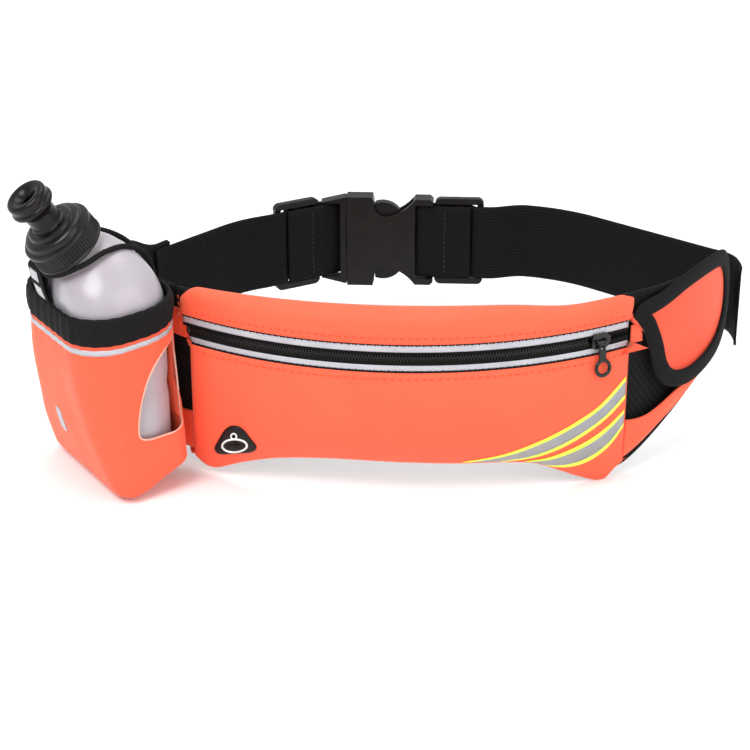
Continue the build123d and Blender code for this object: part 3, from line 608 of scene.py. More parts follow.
ORANGE = (0.98, 0.115, 0.052)
MAT = {
    "orange": knit("stretch_knit_orange", ORANGE),
    # A darker copy of the orange knit: painted shade for the inside of the side pocket.
    "orange_shaded": knit("stretch_knit_orange_shaded", (0.9, 0.09, 0.04)),
    "band": elastic("elastic_band", (0.0055, 0.0055, 0.0058), 1.3, cross=1.6, relief=0.00012),
    "belt": elastic("ribbed_webbing", (0.0042, 0.0041, 0.0041), 0.5, "Y", 0.0, 1.0),
    "twill": elastic("twill_webbing", (0.0055, 0.0052, 0.005), 0.55, "Y", math.radians(42), 0.0),
    "tape": elastic("woven_tape", (0.005, 0.005, 0.005), 0.8, "Y", math.radians(20), 1.2),
    "cord": elastic("cord_cover", (0.006, 0.006, 0.006), 0.7, "X", math.radians(30), 0.7),
    "mesh": spacer_mesh("spacer_mesh"),
    "film": film("reflective_film", (0.46, 0.465, 0.5)),
    "film_dark": film("reflective_film_corner", (0.30, 0.305, 0.32)),
    "lime": film("bright_film", (0.72, 0.95, 0.06), 0.0),
    "thread": thread("orange_thread", (0.85, 0.085, 0.018)),
    "thread_black": thread("black_thread", (0.008, 0.008, 0.008)),
    "raw": thread("raw_edge", (0.75, 0.42, 0.32)),
    "buckle": moulded("buckle_plastic", (0.0085, 0.0070, 0.0062), 0.36),
    "cap": moulded("cap_plastic", (0.0045, 0.0045, 0.0048), 0.28, 0.0003, 0.15),
    "nozzle": moulded("nozzle_plastic", (0.0035, 0.0035, 0.0038), 0.22, 0.0003),
    "teeth": moulded("coil_plastic", (0.006, 0.006, 0.006), 0.3, 0.0001),
    "metal": moulded("slider_lacquer", (0.007, 0.007, 0.007), 0.25, 0.0002, 0.3, 0.00002),
    "rubber": moulded("port_rubber", (0.006, 0.005, 0.005), 0.5, 0.0003),
    "white": moulded("port_ring_print", (0.8, 0.8, 0.8), 0.5, 0.0001),
    "seal": moulded("seal_rubber", (0.6, 0.6, 0.56), 0.55, 0.0002),
    "bottle": frosted("frosted_plastic"),
}


def dress(name, material):
    """Gives a carried-over CAD node its finish."""
    obj = nodes[name]
    for i in range(max(len(obj.material_slots), 1)):
        if i < len(obj.material_slots):
            obj.material_slots[i].material = MAT[material]
        else:
            obj.data.materials.append(MAT[material])


# ------------------------------------------------------------------ pouch
HEM = (
    (-127, -59), (-119, -60), (-113, -64.5), (-106, -65), (-97, -61), (-87, -56.5), (-69, -50.5),
    (-48, -47), (-25, -45.5), (9, -46), (32, -47), (60, -48.5), (77, -51), (87, -55), (96, -60),
    (106, -65.5), (116, -70), (122, -70), (127, -65), (133, -60),
)
HEM_LINE = spline(HEM, 8)


def hem_z(x):
    """Lower edge of the pouch: arched in the middle, with a dropped tip before each end seam."""
    return float(np.interp(x, [p[0] for p in HEM_LINE], [p[1] for p in HEM_LINE]))


def pouch_ends(z):
    """Left and right ends of the pouch's face at a height: the left one steps in below the zip."""
    return -118.5 - 5.5 * smooth((z - 12) / 12), 131.0 + 1.5 * smooth((z - 25) / 15)


def across(z, count):
    """Places from end to end of the pouch at a height."""
    left, right = pouch_ends(z)
    return steps(left, right, count)


def crown_z(x):
    """Upper edge of the pouch, highest left of the middle, with soft shoulders at both ends."""
    a = x / POUCH_HALF
    round_off = max(-112 - x, 0) ** 2 * 0.05 + max(x - 124, 0) ** 2 * 0.03
    dip = 3.0 * math.exp(-(((x - 96) / 24) ** 2))
    return 47.5 - 2.0 * a * a - 1.2 * max(a, 0) ** 2 - round_off - dip


def back_y(x, lift=1.0):
    return BACK_AXIS_Y - math.sqrt((BACK_RADIUS + lift) ** 2 - x * x)


def crumple(x, z, amount, seed):
    """Soft unevenness of fabric that isn't filled."""
    a = noise.noise(Vector((x * 0.018, z * 0.035, seed)))
    b = noise.noise(Vector((x * 0.06, z * 0.05, seed + 7)))
    return amount * (a + 0.4 * b)


def front_place(x, z, lift=0.0):
    """A place on the front panel below the zip."""
    top = ZIP_Z - ZIP_HALF
    t = min(max((top - z) / (top - hem_z(x)), 0.0), 1.0)
    left, right = pouch_ends(z)
    ends = 1 - min(abs(2 * (x - left) / (right - left) - 1), 1.0) ** 9
    swell = 5.0 * math.sin(math.pi * t**0.85) - 5.5 * t**5
    loose = crumple(x, z, 1.1, 2.3) * math.sin(math.pi * min(t + 0.02, 1))
    radius = FRONT_RADIUS + (swell + loose) * (0.25 + 0.75 * ends) + lift
    return x, FRONT_AXIS_Y - math.sqrt(radius * radius - x * x), z


def top_place(x, t, lift=0.0):
    """A place on the top panel: t from the zip's upper edge over the crown to the back."""
    low = ZIP_Z + ZIP_HALF
    phi = t * math.pi / 2
    loose = crumple(x, 60 * t, 0.7, 5.1) * math.sin(math.pi * t)
    radius = FRONT_RADIUS + lift + 1.2 * math.sin(math.pi * t) + loose
    front = FRONT_AXIS_Y - math.sqrt(radius * radius - x * x)
    rear = back_y(x, 0.5)
    y = lerp(rear, front, max(math.cos(phi), 0.0) ** 0.55)
    z = lerp(low, crown_z(x) + lift, math.sin(phi) ** 0.9)
    return x, y, z


def closed_ends(rows, inset=0.0):
    """Turns both ends of every row back to the back panel."""
    closed = []
    for row in rows:
        left, right = row[0], row[-1]
        first = (left[0] - 0.8, lerp(left[1], back_y(left[0]), 0.5), left[2] - inset)
        last = (right[0] + 0.8, lerp(right[1], back_y(right[0]), 0.5), right[2] - inset)
        closed.append(
            [(left[0], back_y(left[0], 1.2), left[2] - inset), first] + row
            + [last, (right[0], back_y(right[0], 1.2), right[2] - inset)]
        )
    return closed


def pouch():
    count = 140
    top = ZIP_Z - ZIP_HALF
    rows = []
    for z, inset in ((top - 2.4, -2.6), (top - 0.4, -2.3), (top + 0.1, -1.2)):
        rows.append([front_place(x, min(z, top), inset)[:2] + (z,) for x in across(top, count)])
    for t in steps(0.0, 1.0, 44):
        rows.append([front_place(x, lerp(top, hem_z(x), t)) for x in across(lerp(top, -60, t), count)])
    for s in steps(0.2, 1.0, 5):
        row = []
        for x in across(-60, count):
            y0 = front_place(x, hem_z(x))[1]
            row.append((x, lerp(y0, back_y(x, 0.2), s), hem_z(x) - 2.0 * math.sin(math.pi * s) * (1 - s)))
        rows.append(row)
    front = grid("pouch_front", closed_ends(rows), MAT["orange"], thick=1.3, outward=(0, -1, 0))
    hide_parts("pouch_front_panel")

    low = ZIP_Z + ZIP_HALF
    rows = [[top_place(x, 0.0, inset)[:2] + (low + rise,) for x in across(low, count)]
            for rise, inset in ((2.4, -2.6), (0.4, -2.3), (-0.1, -1.2))]
    for t in steps(0.0, 1.0, 22):
        rows.append([top_place(x, t) for x in across(lerp(low, 46, t), count)])
    rows.append([(x, back_y(x, -1.2), crown_z(x) - 1.5) for x in across(46, count)])
    upper = grid("pouch_top", closed_ends(rows, 0.8), MAT["orange"], thick=1.3, outward=(0, -1, 0.3))
    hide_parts("pouch_top_panel")

    rows = []
    for t in steps(0.0, 1.0, 30):
        row = []
        for x in across(lerp(-60, 46, t), count):
            z = lerp(hem_z(x) + 0.5, crown_z(x) - 1.2, t)
            u = min(abs(x) / POUCH_HALF, 1.0)
            pad = -1.6 * (math.sin(math.pi * t) ** 0.4) * (1 - u**12)
            channel = 0.9 * math.exp(-((abs(x) - 60) / 2.2) ** 2)
            row.append((x, back_y(x, pad + channel), z))
        rows.append(row)
    back = grid("pouch_back", rows, MAT["mesh"], thick=1.4, outward=(0, 1, 0))
    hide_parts("pouch_back_panel")

    for name, place in (
        ("stitch_row_lower", lambda x: front_place(x, top - 3.2, 0.1)),
        ("stitch_row_upper", lambda x: top_place(x, 0.11, 0.1)),
    ):
        line = [place(x) for x in steps(-117, 129, 160)]
        normals = [(p[0], p[1] - FRONT_AXIS_Y, 0) for p in line]
        stitches(name, line, normals, MAT["thread"], pitch=4.4, length=2.6, width=0.8)


def zip_band(name, low, high, lift, material, node_name, thick=0.35, count=160):
    """A strip along the zip, on the front's curve."""
    rows = []
    for z in steps(low, high, 6):
        row = []
        for x in steps(pouch_ends(z)[0] + 0.8, 130.6, count):
            r = FRONT_RADIUS + lift
            row.append((x, FRONT_AXIS_Y - math.sqrt(r * r - x * x), z))
        rows.append(row)
    strip = grid(name, rows, MAT[material], thick=thick, outward=(0, -1, 0))
    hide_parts(node_name)


def zip_parts():
    pitch, z = 1.7, ZIP_Z
    reach = math.degrees(math.asin(POUCH_HALF / FRONT_RADIUS)) - math.degrees(2.5 / FRONT_RADIUS)
    end = reach - math.degrees(6.0 / FRONT_RADIUS)
    stop = end - math.degrees((5.5 + 6.5) / FRONT_RADIUS)
    verts, faces = [], []
    face_r = FRONT_RADIUS - 1.2
    count = int(math.radians(stop + end) * FRONT_RADIUS / pitch)
    for k in range(count):
        for row, sign in ((0.0, 1), (0.5, -1)):
            a = math.radians(-end) + (k + row) * pitch / FRONT_RADIUS
            radial = np.array((math.sin(a), -math.cos(a), 0))
            along = np.array((math.cos(a), math.sin(a), 0))
            up = np.array((0, 0, 1.0))
            base = np.array((0, FRONT_AXIS_Y, z)) + radial * face_r
            i = len(verts)
            for t, w, h in ((-0.5, 0.36, 0.42), (0.4, 0.5, 0.75), (1.3, 0.5, 0.78), (2.0, 0.4, 0.4)):
                for q in (-1, 1):
                    for lift in (-1.1, h):
                        verts.append(base + up * sign * t + along * q * w + radial * lift)
            for r in range(3):
                k0 = i + 4 * r
                faces += [(k0, k0 + 1, k0 + 5, k0 + 4), (k0 + 2, k0 + 6, k0 + 7, k0 + 3),
                          (k0 + 1, k0 + 3, k0 + 7, k0 + 5), (k0, k0 + 4, k0 + 6, k0 + 2)]
            faces += [(i, i + 2, i + 3, i + 1), (i + 12, i + 13, i + 15, i + 14)]
    coil = finish_mesh("zip_coil", verts, faces, MAT["teeth"], smooth_faces=False)
    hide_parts("zip_teeth")

    for name, sign in (("upper", 1), ("lower", -1)):
        rows = [[], []]
        edge = ZIP_Z + sign * (ZIP_HALF - 0.2)
        n = 260
        for k in range(n + 1):
            first = math.degrees(math.asin((pouch_ends(edge)[0] + 0.6) / FRONT_RADIUS))
            a = math.radians(lerp(first, 35.4, k / n))
            bite = (0.55 if k % 2 else 0.0) + 0.2 * math.sin(k * 1.7)
            for row, dz, lift in ((0, 0.5, -0.05), (1, -0.5 - bite, -0.35)):
                r = FRONT_RADIUS + lift
                rows[row].append((r * math.sin(a), FRONT_AXIS_Y - r * math.cos(a), edge + sign * dz))
        grid(f"zip_edge_{name}", rows, MAT["tape"], thick=0.3, outward=(0, -1, 0))

    stop_rows = []
    for a in (-end - 0.35, end + 0.3):
        r = face_r + 0.7
        t = math.radians(a)
        centre = np.array((r * math.sin(t), FRONT_AXIS_Y - r * math.cos(t), ZIP_Z))
        along = np.array((math.cos(t), math.sin(t), 0))
        stop_rows.append((centre, along))
    for i, (centre, along) in enumerate(stop_rows):
        cs = [centre + np.array((0, 0, dz)) for dz in steps(-2.2, 2.2, 6)]
        sides, ups = frames(cs, [(along[1], -along[0], 0)] * len(cs))
        sweep(f"zip_stop_{i}", cs, sides, ups, flat_section(2.0, 1.2, 3), MAT["metal"])

    zip_band("zip_tape_high", ZIP_Z + 1.6, ZIP_Z + 8.4, -1.3, "tape", "zip_tape_upper", 0.9)
    zip_band("zip_tape_low", ZIP_Z - 8.4, ZIP_Z - 1.6, -1.3, "tape", "zip_tape_lower", 0.9)
    zip_band("zip_film_high", ZIP_Z + 3.7, ZIP_Z + 8.0, -0.75, "film", "zip_reflective_upper")
    zip_band("zip_film_low", ZIP_Z - 7.8, ZIP_Z - 4.4, -0.75, "film", "zip_reflective_lower")
    dress("zip_slider", "metal")
    dress("zip_pull", "metal")


FAN = (
    (0.0, ((38, -46), (60, -42), (82, -34), (104, -24), (117, -17), (131, -5))),
    (0.42, ((64, -48), (80, -46.5), (95, -41), (108, -34.5), (121, -27), (131, -19))),
    (0.58, ((72, -50), (86, -48), (99, -43.5), (111, -38.5), (122, -32.5), (131, -26))),
    (1.0, ((84, -53.5), (94, -56.5), (104, -56.5), (114, -53), (124, -46), (131, -37))),
)
FAN_LINES = [(share, spline(points, 20)) for share, points in FAN]


def fan_place(share, t):
    """A place (x, z) on the corner's fan of stripes: share across the fan and t along it."""
    for (a, first), (b, second) in zip(FAN_LINES, FAN_LINES[1:]):
        if share <= b:
            break
    k = (share - a) / (b - a)
    at = t * (len(first) - 1)
    i = min(int(at), len(first) - 2)
    p = first[i] * (1 - at + i) + first[i + 1] * (at - i)
    q = second[i] * (1 - at + i) + second[i + 1] * (at - i)
    return p * (1 - k) + q * k


def port():
    """The rubber earphone outlet: a rounded triangle with a printed ring, a loop over it and a cross slit."""
    def place(u, v, lift):
        x, z = -93.0 + u, -42.0 + v + 0.3 * u
        return front_place(x, z, lift)

    outline = spline([(0, 12.0), (5.5, 9.4), (10.6, 1.0), (13.0, -4.6), (10, -8.4), (0, -8.8), (-10, -8.4),
                      (-13.0, -4.6), (-10.6, 1.0), (-5.5, 9.4)], 8, closed=True)
    domed = ((0.03, 0.9), (0.2, 1.0), (0.42, 1.3), (0.6, 1.6), (0.8, 1.7), (0.92, 1.5),
             (0.985, 0.9), (1.0, 0.2))
    rows = [[place(p[0] * k, p[1] * k, lift) for p in outline] for k, lift in domed]
    pad = grid("port_pad", rows, MAT["rubber"], thick=0.9, wrap=True, outward=(-0.4, -1, 0), capped=True)
    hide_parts("earphone_port")
    oval = [place(7.6 * math.cos(a), -1.6 + 5.0 * math.sin(a), 1.75) for a in steps(0, 2 * math.pi, 64)[:-1]]
    ring = tube("port_ring", oval, 0.62, MAT["white"], closed=True, count=8)
    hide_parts("earphone_ring")
    loop = [place(1.7 * math.cos(a), 5.4 + 2.0 * math.sin(a), 1.75) for a in steps(0, 2 * math.pi, 32)[:-1]]
    tube("port_loop", loop, 0.5, MAT["white"], closed=True, count=8)
    for name, (u, v) in (("port_slit_a", (4.2, 0)), ("port_slit_b", (0, 3.2))):
        tube(name, [place(u * t, -1.6 + v * t, 1.35) for t in steps(-1, 1, 12)], 0.3, MAT["teeth"], count=8)


def stripe(name, low, high, material):
    rows = []
    for share in steps(low, high, 4):
        row = []
        for t in steps(0.0, 1.0, 90):
            x, z = fan_place(share, t)
            row.append(front_place(x - 0.3, max(z, hem_z(x) + 0.5), 0.25))
        rows.append(row)
    return grid(name, rows, MAT[material], thick=0.2, outward=(0.3, -1, 0), offset=1.0)


def stripes():
    grey = [
        stripe(f"corner_stripe_grey_{i}", a, b, "film_dark")
        for i, (a, b) in enumerate(((0.085, 0.335), (0.665, 0.915)))
    ]
    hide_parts("corner_stripes_grey")
    lime = [
        stripe(f"corner_stripe_bright_{i}", a, b, "lime")
        for i, (a, b) in enumerate(((0.0, 0.085), (0.335, 0.42), (0.58, 0.665), (0.915, 1.0)))
    ]
    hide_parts("corner_stripes_bright")


# ------------------------------------------------------------------ wings and belt
RIGHT_LOW = spline([
    (-10, -62), (0, -63.5), (11, -59), (38, -41), (57, -30), (75, -19.5), (98, -9), (115, -9), (135, -12),
], 6)


def wing_low(s, side="right"):
    """Lower edge of a wing."""
    if side == "left":
        return lerp(-55.0 - 6.0 * smooth((s + 9) / 30), WING_END_LOW, s / WING)
    return float(np.interp(s, [p[0] for p in RIGHT_LOW], [p[1] for p in RIGHT_LOW]))


def wing_high(s):
    return lerp(WING_TOP, WING_END_TOP, smooth((s / WING - 0.6) / 0.34))


def wing(side):
    start = -9.0 if side == "left" else 0.0
    rows = []
    for t in steps(0.0, 1.0, 34):
        row = []
        for s in steps(start, WING, 64):
            z = lerp(wing_low(s, side) + 0.5, wing_high(s), t)
            pad = 0.9 * math.sin(math.pi * t) ** 0.5
            row.append(on_side(side, POUCH_RUN + s, pad + 0.2, z))
        rows.append(row)
    sign = SIDES[side][1]
    panel = grid(f"wing_panel_{side}", rows, MAT["mesh"], thick=1.8, outward=(sign, -0.3, 0))
    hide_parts(f"wing_{side}")

    def edging(name, height, width, thick):
        centres, ups = [], []
        for s in steps(1.5, WING - 1, 60):
            centres.append(on_side(side, POUCH_RUN + s, 0.1, height(s)))
            ups.append(outward_at(side, POUCH_RUN + s))
        sides, tops = frames(centres, ups)
        return sweep(name, centres, sides, tops, flat_section(width, thick, 3.2), MAT["tape"])

    bind = edging(f"wing_edge_{side}", lambda s: wing_low(s, side) + 0.2, 5.6, 3.6)
    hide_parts(f"wing_binding_{side}")
    edging(f"wing_top_edge_{side}", lambda s: wing_high(s) - 1.0, 4.0, 3.0)


def belt_ribbon(name, side, points, material, body):
    """A flat ribbon of belt through plan points (s, out), with slightly thickened woven edges."""
    rows = []
    for t in steps(-1.0, 1.0, 16):
        z = STRAP_HALF * t
        selvedge = 0.25 * (abs(t) > 0.93)
        rows.append([on_side(side, s, out + selvedge, z) for s, out in points])
    return grid(name, rows, material, body, thick=STRAP_THICK, offset=0.0)


def turn_points(path, bar_s, far_s, reach):
    """Plan points of the belt's end: round the bar and back on the wearer's side."""
    x, y, heading = path.pose(bar_s)
    along = np.array((math.cos(heading), math.sin(heading)))
    out = np.array((math.sin(heading), -math.cos(heading)))
    centre = np.array((x, y)) + along * reach
    pts = [centre + out * STRAP_GAP + along * a for a in steps(-8.0 - reach, 0.0, 5)]
    for k in range(1, 12):
        a = math.radians(90 - 180 * k / 12)
        pts.append(centre + along * STRAP_GAP * 0.9 * math.cos(a) + out * STRAP_GAP * math.sin(a))
    for s in steps(bar_s + reach, far_s, 30):
        px, py, ph = path.pose(min(s, path.total))
        over = max(s - path.total, 0.0)
        base = np.array((px + over * math.cos(ph), py + over * math.sin(ph)))
        proud = -0.9 * smooth((bar_s - s) / 5)
        pts.append(base + np.array((math.sin(ph), -math.cos(ph))) * (-STRAP_GAP + proud))
    return pts


def returned(name, side, reach, far_s, body, node_name):
    path, sign = SIDES[side]
    pts = turn_points(path, path.total, far_s, reach)
    rows = [[(sign * p[0], p[1], STRAP_HALF * 0.985 * t) for p in pts] for t in steps(-1.0, 1.0, 14)]
    strap = grid(name, rows, MAT["twill"], body, thick=STRAP_THICK, offset=0.0)
    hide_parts(node_name)
    seam = path.total - 11.0
    line = [on_side(side, seam, -STRAP_GAP - 1.8, z) for z in steps(-23, 23, 30)]
    normal = -outward_at(side, seam)
    stitches(f"{name}_seam", line, [normal] * len(line), MAT["thread_black"], 3.4, 2.4, 0.8, body=body)


def belt():
    lap = POUCH_RUN + WING - 15
    far_right = RIGHT.total - (ADJUSTER_RIGHT_X - FEMALE_BAR_X) - RAIL_REACH
    far_left = LEFT.total - ADJUSTER_LEFT_GAP - ADJUSTER_HALF - RAIL_REACH

    def laid(s, near, far):
        """Main layer: past the adjuster's far rail on the wearer's side, then outside its middle bar."""
        up = smooth((s - far + 34) / 24)
        down = smooth((s - far + 1.5) / 7.0)
        return lerp(lerp(near, -3.5, up), STRAP_GAP, down)

    points = [(s, laid(s, STRAP_GAP + 7.0 * (1 - smooth((s - lap) / 34)), far_right))
              for s in steps(lap, RIGHT.total, 220)]
    strap = belt_ribbon("belt_right", "right", points, MAT["belt"], None)
    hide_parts("strap_right")
    a = on_side("right", POUCH_RUN + WING + 16, 0, 0)
    b = on_side("right", RIGHT.total - 4, 0, 0)
    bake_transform(strap)
    points = [(s, laid(s, -STRAP_GAP, far_left)) for s in steps(lap, LEFT.total, 200)]
    strap = belt_ribbon("belt_left", "left", points, MAT["belt"], "pack")
    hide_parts("strap_left")
    returned("belt_return_right", "right", 5.2, far_right + 2.5, "buckle_female", "strap_return_right")
    returned("belt_return_left", "left", 8.2, far_left + 2.5, "pack", "strap_return_left")
    for name in ("adjuster_right", "adjuster_left", "buckle_female", "buckle_male",
                 "buckle_prong_upper", "buckle_prong_lower"):
        dress(name, "buckle")


# ------------------------------------------------------------------ bottle, cap and pocket
def pocket_frame():
    path = LEFT
    out = WING_HALF_THICK + POCKET_STAND_OFF + POCKET_DEPTH / 2
    x, y, heading = path.pose(POUCH_RUN + POCKET_ALONG)
    along = np.array((-math.cos(heading), math.sin(heading), 0.0))
    outwards = np.array((-math.sin(heading), -math.cos(heading), 0.0))
    origin = np.array((-x, y, 0.0)) + outwards * out + along * POCKET_SHIFT
    return origin, along, outwards


POCKET_ORIGIN, POCKET_X, POCKET_OUT = pocket_frame()


def in_pocket(x, y, z):
    """From the bottle's own frame (x along the wing, y towards the wearer) to the row frame."""
    p = POCKET_ORIGIN + POCKET_X * x - POCKET_OUT * y
    return p[0], p[1], p[2] + z


def rounded(width, depth, corner, angle):
    """A place on a rounded rectangle at an even share of its girth, from the middle of its +x side."""
    w, d = width / 2 - corner, depth / 2 - corner
    arc = math.pi / 2 * corner
    sides = [(d, "y"), (arc, 0), (2 * w, "-x"), (arc, 1), (2 * d, "-y"),
             (arc, 2), (2 * w, "x"), (arc, 3), (d, "y2")]
    total = sum(length for length, _ in sides)
    s = (angle / (2 * math.pi)) % 1.0 * total
    for length, kind in sides:
        if s <= length or kind == "y2":
            break
        s -= length
    if kind == "y":
        return w + corner, s
    if kind == "-x":
        return w - s, d + corner
    if kind == "-y":
        return -w - corner, d - s
    if kind == "x":
        return -w + s, -d - corner
    if kind == "y2":
        return w + corner, -d + s
    a = s / corner + kind * math.pi / 2
    cx, cy = ((w, d), (-w, d), (-w, -d), (w, -d))[kind]
    return cx + corner * math.cos(a), cy + corner * math.sin(a)


def rim_drop(y):
    """The rim stands a little higher at the wearer's side than at the front."""
    return 2.4 * y / 32.0


def pocket_place(angle, share, lift):
    """A place on the bottle pocket: share 0 at the band and 1 at the foot."""
    width, depth = POCKET_WIDTH, POCKET_DEPTH
    tuck = 5.0 * max((share - 0.95) / 0.05, 0) ** 2
    grow = 2 * (lift - tuck)
    x, y = rounded(width + grow, depth + grow, max(POCKET_CORNER - CORNER_LOSS * share, 7), angle)
    back = (y + depth / 2) / depth
    wide = 1 + 0.19 * max(1 - back, 0) * (x > 0)
    y += POCKET_TAPER * share**LEAN_POWER * (1 - back)
    gather = 0.3 * math.sin(angle * 34) * smooth(1 - share * 6)
    ripple = crumple(x * 1.3 + y, 90 * share, 1.3, 11.0) * math.sin(math.pi * min(share + 0.05, 1))
    k = 1 + (gather + ripple) / max(math.hypot(x, y), 10)
    foot = POCKET_BOTTOM + 14 * smooth((back - 0.15) / 0.85) * (x < 0)
    z = lerp(POCKET_RIM + 1.0 + rim_drop(y), foot, share)
    return in_pocket(x * k * wide, y * k, z)


def pocket():
    turns = steps(0, 2 * math.pi, 180)[:-1]
    foot = [pocket_place(a, 1.0, 0.0) for a in turns]
    centre = np.mean(np.array(foot), axis=0)
    rows = [[tuple(centre + (np.array(p) - centre) * k) for p in foot] for k in (0.25, 0.5, 0.75, 0.92)]
    rows += [[pocket_place(a, share, 0.0) for a in turns] for share in steps(1.0, 0.0, 60)]
    shell = grid("bottle_pocket", rows, MAT["orange"], body=None, thick=1.5, wrap=True, capped=True)
    cut_window(shell)
    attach(shell, "pack")
    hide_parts("bottle_pocket_shell")

    rows = []
    for rise, lift in ((-1.0, 0.2), (0.0, 0.9), (3, 1.3), (8, 1.5), (13.4, 1.2), (14.8, 0.6), (15.2, -0.6)):
        row = []
        for a in turns:
            x, y, z = pocket_place(a, 0.0, lift)
            row.append((x, y, z + rise - 1.0))
        rows.append(row)
    band = grid("pocket_band", rows, MAT["band"], thick=2.2, wrap=True)
    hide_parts("bottle_pocket_band")

    rows = [[pocket_place(a, share, 0.15) for a in turns] for share in (0.072, 0.056, 0.04)]
    strip = grid("pocket_film", rows, MAT["film"], thick=0.2, wrap=True, offset=1.0)
    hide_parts("bottle_pocket_film")

    rows = []
    for q in steps(-1, 1, 8):
        row = []
        for h in steps(-1, 1, 14):
            half = 0.075 * math.sqrt(max(1 - max(abs(h) * 8.5 - 6.0, 0) ** 2 / 6.25, 0.0))
            row.append(pocket_place(4.9 + q * half, 0.64 + 0.085 * h, 0.2))
        rows.append(row)
    badge = grid("pocket_mark", rows, MAT["film"], thick=0.2, offset=1.0, outward=tuple(POCKET_OUT))
    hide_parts("bottle_pocket_badge")

    for name, low, high, reach in (("pocket_gusset_low", -57, -33, 13), ("pocket_gusset_high", 13, 31, 6)):
        rows = [[on_side("left", POUCH_RUN + s, 3.0, lerp(low, high, t) + 0.15 * (s + 9) * (1 - t))
                 for s in steps(-8.5, reach, 12)] for t in steps(0, 1, 10)]
        grid(name, rows, MAT["orange"], thick=1.4, outward=(-1, -1, 0))
    for name, s in (("pocket_tack_a", -5.0), ("pocket_tack_b", -2.0)):
        line = [on_side("left", POUCH_RUN + s, 3.3, z) for z in steps(14, 40, 20)]
        normal = outward_at("left", POUCH_RUN + s)
        stitches(name, line, [normal] * len(line), MAT["thread"], 4.2, 2.4, 0.8)


# (towards the wearer, up) on the face next to the pouch
WINDOW = (
    (30, 21), (26, 22.5), (16, 18), (8, 9), (2, -4), (-1, -16), (-2, -27), (0, -31.5), (6, -33),
    (16, -32.5), (27, -32), (30.5, -29), (30.5, -6),
)


def cut_window(obj):
    """Cuts the half-moon window through the face of the pocket next to the pouch."""
    line = spline(WINDOW, 6, closed=True)
    n = len(line)
    verts = [in_pocket(x, y, z) for x in (-80, -22) for y, z in line]
    faces = [tuple(range(n)), tuple(reversed(range(n, 2 * n)))]
    faces += [(i, n + i, n + (i + 1) % n, (i + 1) % n) for i in range(n)]
    cutter = finish_mesh("cutter", verts, faces, MAT["band"], None)
    made = obj.modifiers.new("window", "BOOLEAN")
    made.operation, made.object, made.solver = "DIFFERENCE", cutter, "EXACT"
    apply_modifiers(obj)
    bpy.data.objects.remove(cutter)
    edge = []
    for y, z in line:
        share = (POCKET_RIM + 1.0 - z) / (POCKET_RIM + 1.0 - POCKET_BOTTOM)
        lean = POCKET_TAPER * share**LEAN_POWER
        plain_y = (y - lean / 2) / (1 - lean / POCKET_DEPTH)
        corner = POCKET_CORNER - CORNER_LOSS * share
        past = min(max(plain_y - POCKET_DEPTH / 2 + corner, 0), corner)
        x = -POCKET_WIDTH / 2 + corner - math.sqrt(corner**2 - past**2)
        edge.append(in_pocket(x, y, z))
    tube("pocket_window_edge", edge, 0.55, MAT["raw"], closed=True, count=8)


def neck_axis():
    return np.array((0.0, -math.sin(NECK_TILT), math.cos(NECK_TILT)))


def bottle():
    width, depth, corner = BOTTLE
    turns = steps(0, 2 * math.pi, 120)[:-1]
    foot = np.array((0.0, -NECK_OUT, NECK_FOOT))
    axis = neck_axis()
    side = np.array((1.0, 0.0, 0.0))
    lean = np.cross(axis, side)
    rows = []
    low, shoulder = BOTTLE_LOW, 40.0

    def body_row(z, inset):
        row = []
        for a in turns:
            x, y = rounded(width - 2 * inset, depth - 2 * inset, corner - inset * 0.6, a)
            row.append(in_pocket(*slim(x, y, z), z))
        return row

    def slim(x, y, z):
        """The bottle is slimmer on the side away from the pouch, and leans in at the foot with its pocket."""
        back = (y + depth / 2) / depth
        share = min(max((POCKET_RIM - z) / (POCKET_RIM - POCKET_BOTTOM), 0), 1)
        foot_lean = POCKET_TAPER * share**LEAN_POWER
        return (x * FAR_SIDE if x > 0 else x), y + foot_lean * (1 - back)

    for rise, inset in ((1.5, 22), (0.4, 14), (0, 7), (0.6, 3.5), (2.4, 1.2), (5, 0.2)):
        rows.append(body_row(low + rise, inset))
    for z in steps(low + 9, shoulder, 26):
        waist = 0.9 * math.exp(-(((z + 8) / 5.0) ** 2))
        rows.append(body_row(z, waist))
    for t in steps(0.0, 1.0, 22)[1:]:
        row = []
        for a in turns:
            bx, by = rounded(width, depth, corner, a)
            ring_a = math.atan2(by / depth, bx / width)
            ring = foot + side * NECK_RADIUS * math.cos(ring_a) + lean * NECK_RADIUS * math.sin(ring_a)
            e = math.sin(t * math.pi / 2)
            f = 1 - math.cos(t * math.pi / 2)
            x = lerp(bx * FAR_SIDE if bx > 0 else bx, ring[0], f)
            y = lerp(by, ring[1], f)
            z = lerp(shoulder, ring[2], lerp(e, t, 0.35))
            row.append(in_pocket(x, y, z))
        rows.append(row)
    for along in (1.0, 3.0, 6.0, 12.0, 16.0):
        row = []
        for a in turns:
            bx, by = rounded(width, depth, corner, a)
            ring_a = math.atan2(by / depth, bx / width)
            p = foot + axis * along + (side * math.cos(ring_a) + lean * math.sin(ring_a)) * NECK_RADIUS
            row.append(in_pocket(*p))
        rows.append(row)
    shell = grid("bottle_body", rows, MAT["bottle"], "bottle", thick=1.2, wrap=True, capped=True)
    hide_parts("bottle_shell")
    dress("cap_seal", "seal")
    lathe_cap(foot, axis, side, lean)
    lathe_nozzle(foot, axis, side, lean)


